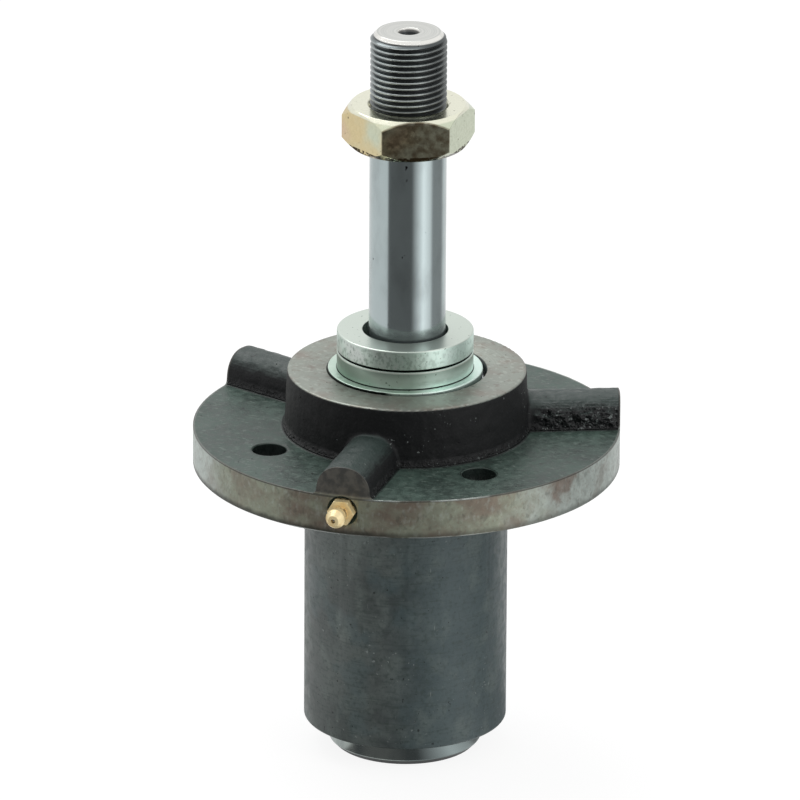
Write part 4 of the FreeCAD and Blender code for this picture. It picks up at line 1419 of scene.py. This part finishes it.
@dataclass
class Studio:
    """White floor, soft lamps, a surround that polished metal mirrors, and the camera.

    The surround's bands are angles from the camera's side, in degrees, and how bright the sheet is
    there. A lamp has a place and a size in metres, and a power in watts.
    """

    floor_height: float = -98.5
    floor_gap: float = 0.05
    floor_size: float = 8.0
    floor_glow: float = 0.88
    floor_shade: Colour = (0.2, 0.2, 0.2)
    floor_bounce: Colour = (0.75, 0.75, 0.75)
    world_light: float = 0.55
    world_white: float = 1.0
    azimuth: float = 17.2
    elevation: float = 20.684
    distance: float = 4192.0
    aim_height: float = 21.75
    aim_left: float = 2.21
    roll: float = 0.323
    lens: float = 571.9
    sensor: float = 36.0
    far_clip: float = 50.0
    surround_near: float = 27.0
    surround_far: float = 300.0
    surround_top: float = 250.0
    surround_steps: int = 120
    surround_bands: tuple[Span, ...] = (
        (-180, 0.9), (-62, 0.87), (-57, 0.16), (12, 0.15), (38, 1.1), (47, 1.5), (70, 1.0), (80, 0.38),
        (117, 0.38), (130, 0.88), (165, 0.9))
    lamps: tuple[tuple[str, Triple, float, float], ...] = (
        ("overhead_softbox", (-0.5, 0.45, 1.25), 1.1, 9.0),
        ("right_fill", (1.2, -0.5, 0.6), 0.8, 3.0))

    def build(self) -> None:
        """Make the whole studio."""
        self.make_world()
        self.make_floor()
        self.make_surround()
        self.make_lamps()
        self.make_camera()
        bpy.context.scene.view_settings.view_transform = "Standard"

    def seen(self, nodes: NodeTree) -> Socket:
        """Where the background is looked at: 1 for camera, mirror and glass rays, 0 for bounced light."""
        path = nodes.add("ShaderNodeLightPath")
        return nodes.most(*(path.outputs[f"Is {ray} Ray"] for ray in ("Camera", "Glossy", "Transmission")))

    def stage_sheet(self, sheet: Piece, name: str) -> NodeTree:
        """Give a sheet of the studio a new material, and return its nodes, with nothing but the output."""
        material = bpy.data.materials.new(name)
        material.use_nodes = True
        material.node_tree.nodes.remove(material.node_tree.nodes["Principled BSDF"])
        sheet.data.materials.append(material)
        return NodeTree(material.node_tree)

    def show(self, nodes: NodeTree, shader: Socket) -> None:
        """Put a shader on a material's surface."""
        nodes.join(shader, nodes.tree.nodes["Material Output"].inputs["Surface"])

    def make_world(self) -> None:
        """White world, softer on the object than it looks behind it."""
        world = bpy.data.worlds.new("studio")
        world.use_nodes = True
        nodes = NodeTree(world.node_tree)
        shader = nodes.tree.nodes["Background"]
        shader.inputs["Color"].default_value = (1, 1, 1, 1)
        strength = nodes.blend(self.seen(nodes), self.world_light, self.world_white)
        nodes.join(strength, shader.inputs["Strength"])
        bpy.context.scene.world = world

    def make_floor(self) -> None:
        """White floor that keeps a faint shadow, and that is clear from below."""
        body = bmesh.new()
        bmesh.ops.create_grid(body, x_segments=1, y_segments=1, size=self.floor_size)
        bmesh.ops.translate(body, verts=body.verts, vec=(0, 0, (self.floor_height - self.floor_gap) * MM))
        floor = as_piece("floor", body)
        nodes = self.stage_sheet(floor, "floor_white")
        glow = nodes.add("ShaderNodeEmission", Strength=self.floor_glow).outputs[0]
        shade = nodes.chain("ShaderNodeBsdfDiffuse", self.floor_shade)
        white = nodes.chain("ShaderNodeAddShader", glow, shade)
        bounce = nodes.chain("ShaderNodeBsdfDiffuse", self.floor_bounce)
        above = nodes.chain("ShaderNodeMixShader", self.seen(nodes), bounce, white)
        below = nodes.add("ShaderNodeNewGeometry").outputs["Backfacing"]
        clear = nodes.chain("ShaderNodeBsdfTransparent")
        self.show(nodes, nodes.chain("ShaderNodeMixShader", below, above, clear))

    def make_surround(self) -> None:
        """Sheet round the object, grey and white by turns, that only mirror reflections show."""
        sheet = as_piece("reflection_surround", self.surround_mesh())
        nodes = self.stage_sheet(sheet, "surround_grey")
        ramp = nodes.add("ShaderNodeValToRGB")
        elements = ramp.color_ramp.elements
        for index, (degrees, level) in enumerate(self.surround_bands):
            spot = (degrees + 180) / 360
            element = elements[index] if index < 2 else elements.new(spot)
            element.position = spot
            element.color = (level, level, level, 1)
        around = nodes.chain("ShaderNodeSeparateXYZ", nodes.chain("ShaderNodeUVMap"))
        nodes.join(around, ramp.inputs[0])
        self.show(nodes, nodes.chain("ShaderNodeEmission", ramp.outputs[0]))
        for ray in ("camera", "diffuse", "transmission", "volume_scatter", "shadow"):
            setattr(sheet, "visible_" + ray, False)

    def surround_mesh(self) -> BMesh:
        """Ring on the floor and wall round it, whose UV runs once round from behind the object."""
        body = bmesh.new()
        layer = body.loops.layers.uv.new("UVMap")
        steps = self.surround_steps
        rows = [(self.surround_near, self.floor_height), (self.surround_far, self.floor_height),
                (self.surround_far, self.surround_top)]
        grid = []
        for radius, height in rows:
            line = []
            for step in range(steps + 1):
                angle = math.radians(self.azimuth - 180 + 360 * step / steps)
                place = (radius * math.sin(angle) * MM, -radius * math.cos(angle) * MM, height * MM)
                line.append(body.verts.new(place))
            grid.append(line)
        for low, high in zip(grid, grid[1:]):
            for step in range(steps):
                face = body.faces.new((low[step], low[step + 1], high[step + 1], high[step]))
                for loop, share in zip(face.loops, (step, step + 1, step + 1, step)):
                    loop[layer].uv = (share / steps, 0.5)
        return body

    def make_lamps(self) -> None:
        """Soft lamps: a broad one above and behind to the left, and a fill from the right."""
        for name, place, size, power in self.lamps:
            lamp = bpy.data.lights.new(name, "AREA")
            lamp.size = size
            lamp.energy = power
            holder = bpy.data.objects.new(name, lamp)
            holder.location = place
            holder.rotation_euler = (-Vector(place)).to_track_quat("-Z", "Y").to_euler()
            bpy.context.scene.collection.objects.link(holder)

    def make_camera(self) -> None:
        """Camera at the photograph's angle, with its long lens."""
        turn = math.radians(self.azimuth)
        rise = math.radians(self.elevation)
        back = Vector((math.sin(turn) * math.cos(rise), -math.cos(turn) * math.cos(rise), math.sin(rise)))
        right = Vector((math.cos(turn), math.sin(turn), 0))
        aim = Vector((0, 0, self.aim_height)) - right * self.aim_left
        data = bpy.data.cameras.new("camera")
        data.lens = self.lens
        data.sensor_width = self.sensor
        data.clip_end = self.far_clip
        camera = bpy.data.objects.new("camera", data)
        facing = (-back).to_track_quat("-Z", "Y").to_matrix().to_4x4()
        place = Matrix.Translation((aim + back * self.distance) * MM)
        camera.matrix_world = place @ facing @ Matrix.Rotation(math.radians(self.roll), 4, "Z")
        bpy.context.scene.collection.objects.link(camera)
        bpy.context.scene.camera = camera


def main() -> None:
    """Build and dress every piece, then the studio round them."""
    logging.basicConfig(level=logging.INFO, format="%(name)s: %(message)s")
    HousingCasting().build(CastHousingFinish().paint())
    SpindleShaft().build(GroundSteelFinish().paint())
    CollarStack().build(CLEAR_ZINC.paint())
    JamNut().build(YELLOW_ZINC.paint())
    fitting = EdgedCopy("grease_fitting_body", "grease_fitting", Body.HOUSING, Slot.FITTING_BRASS, 0.1)
    fitting.build(FITTING_BRASS.paint())
    CheckSpring().build(SPRING_STEEL.paint())
    InnerPieces().dress()
    Studio().build()


if __name__ == "__main__":
    main()
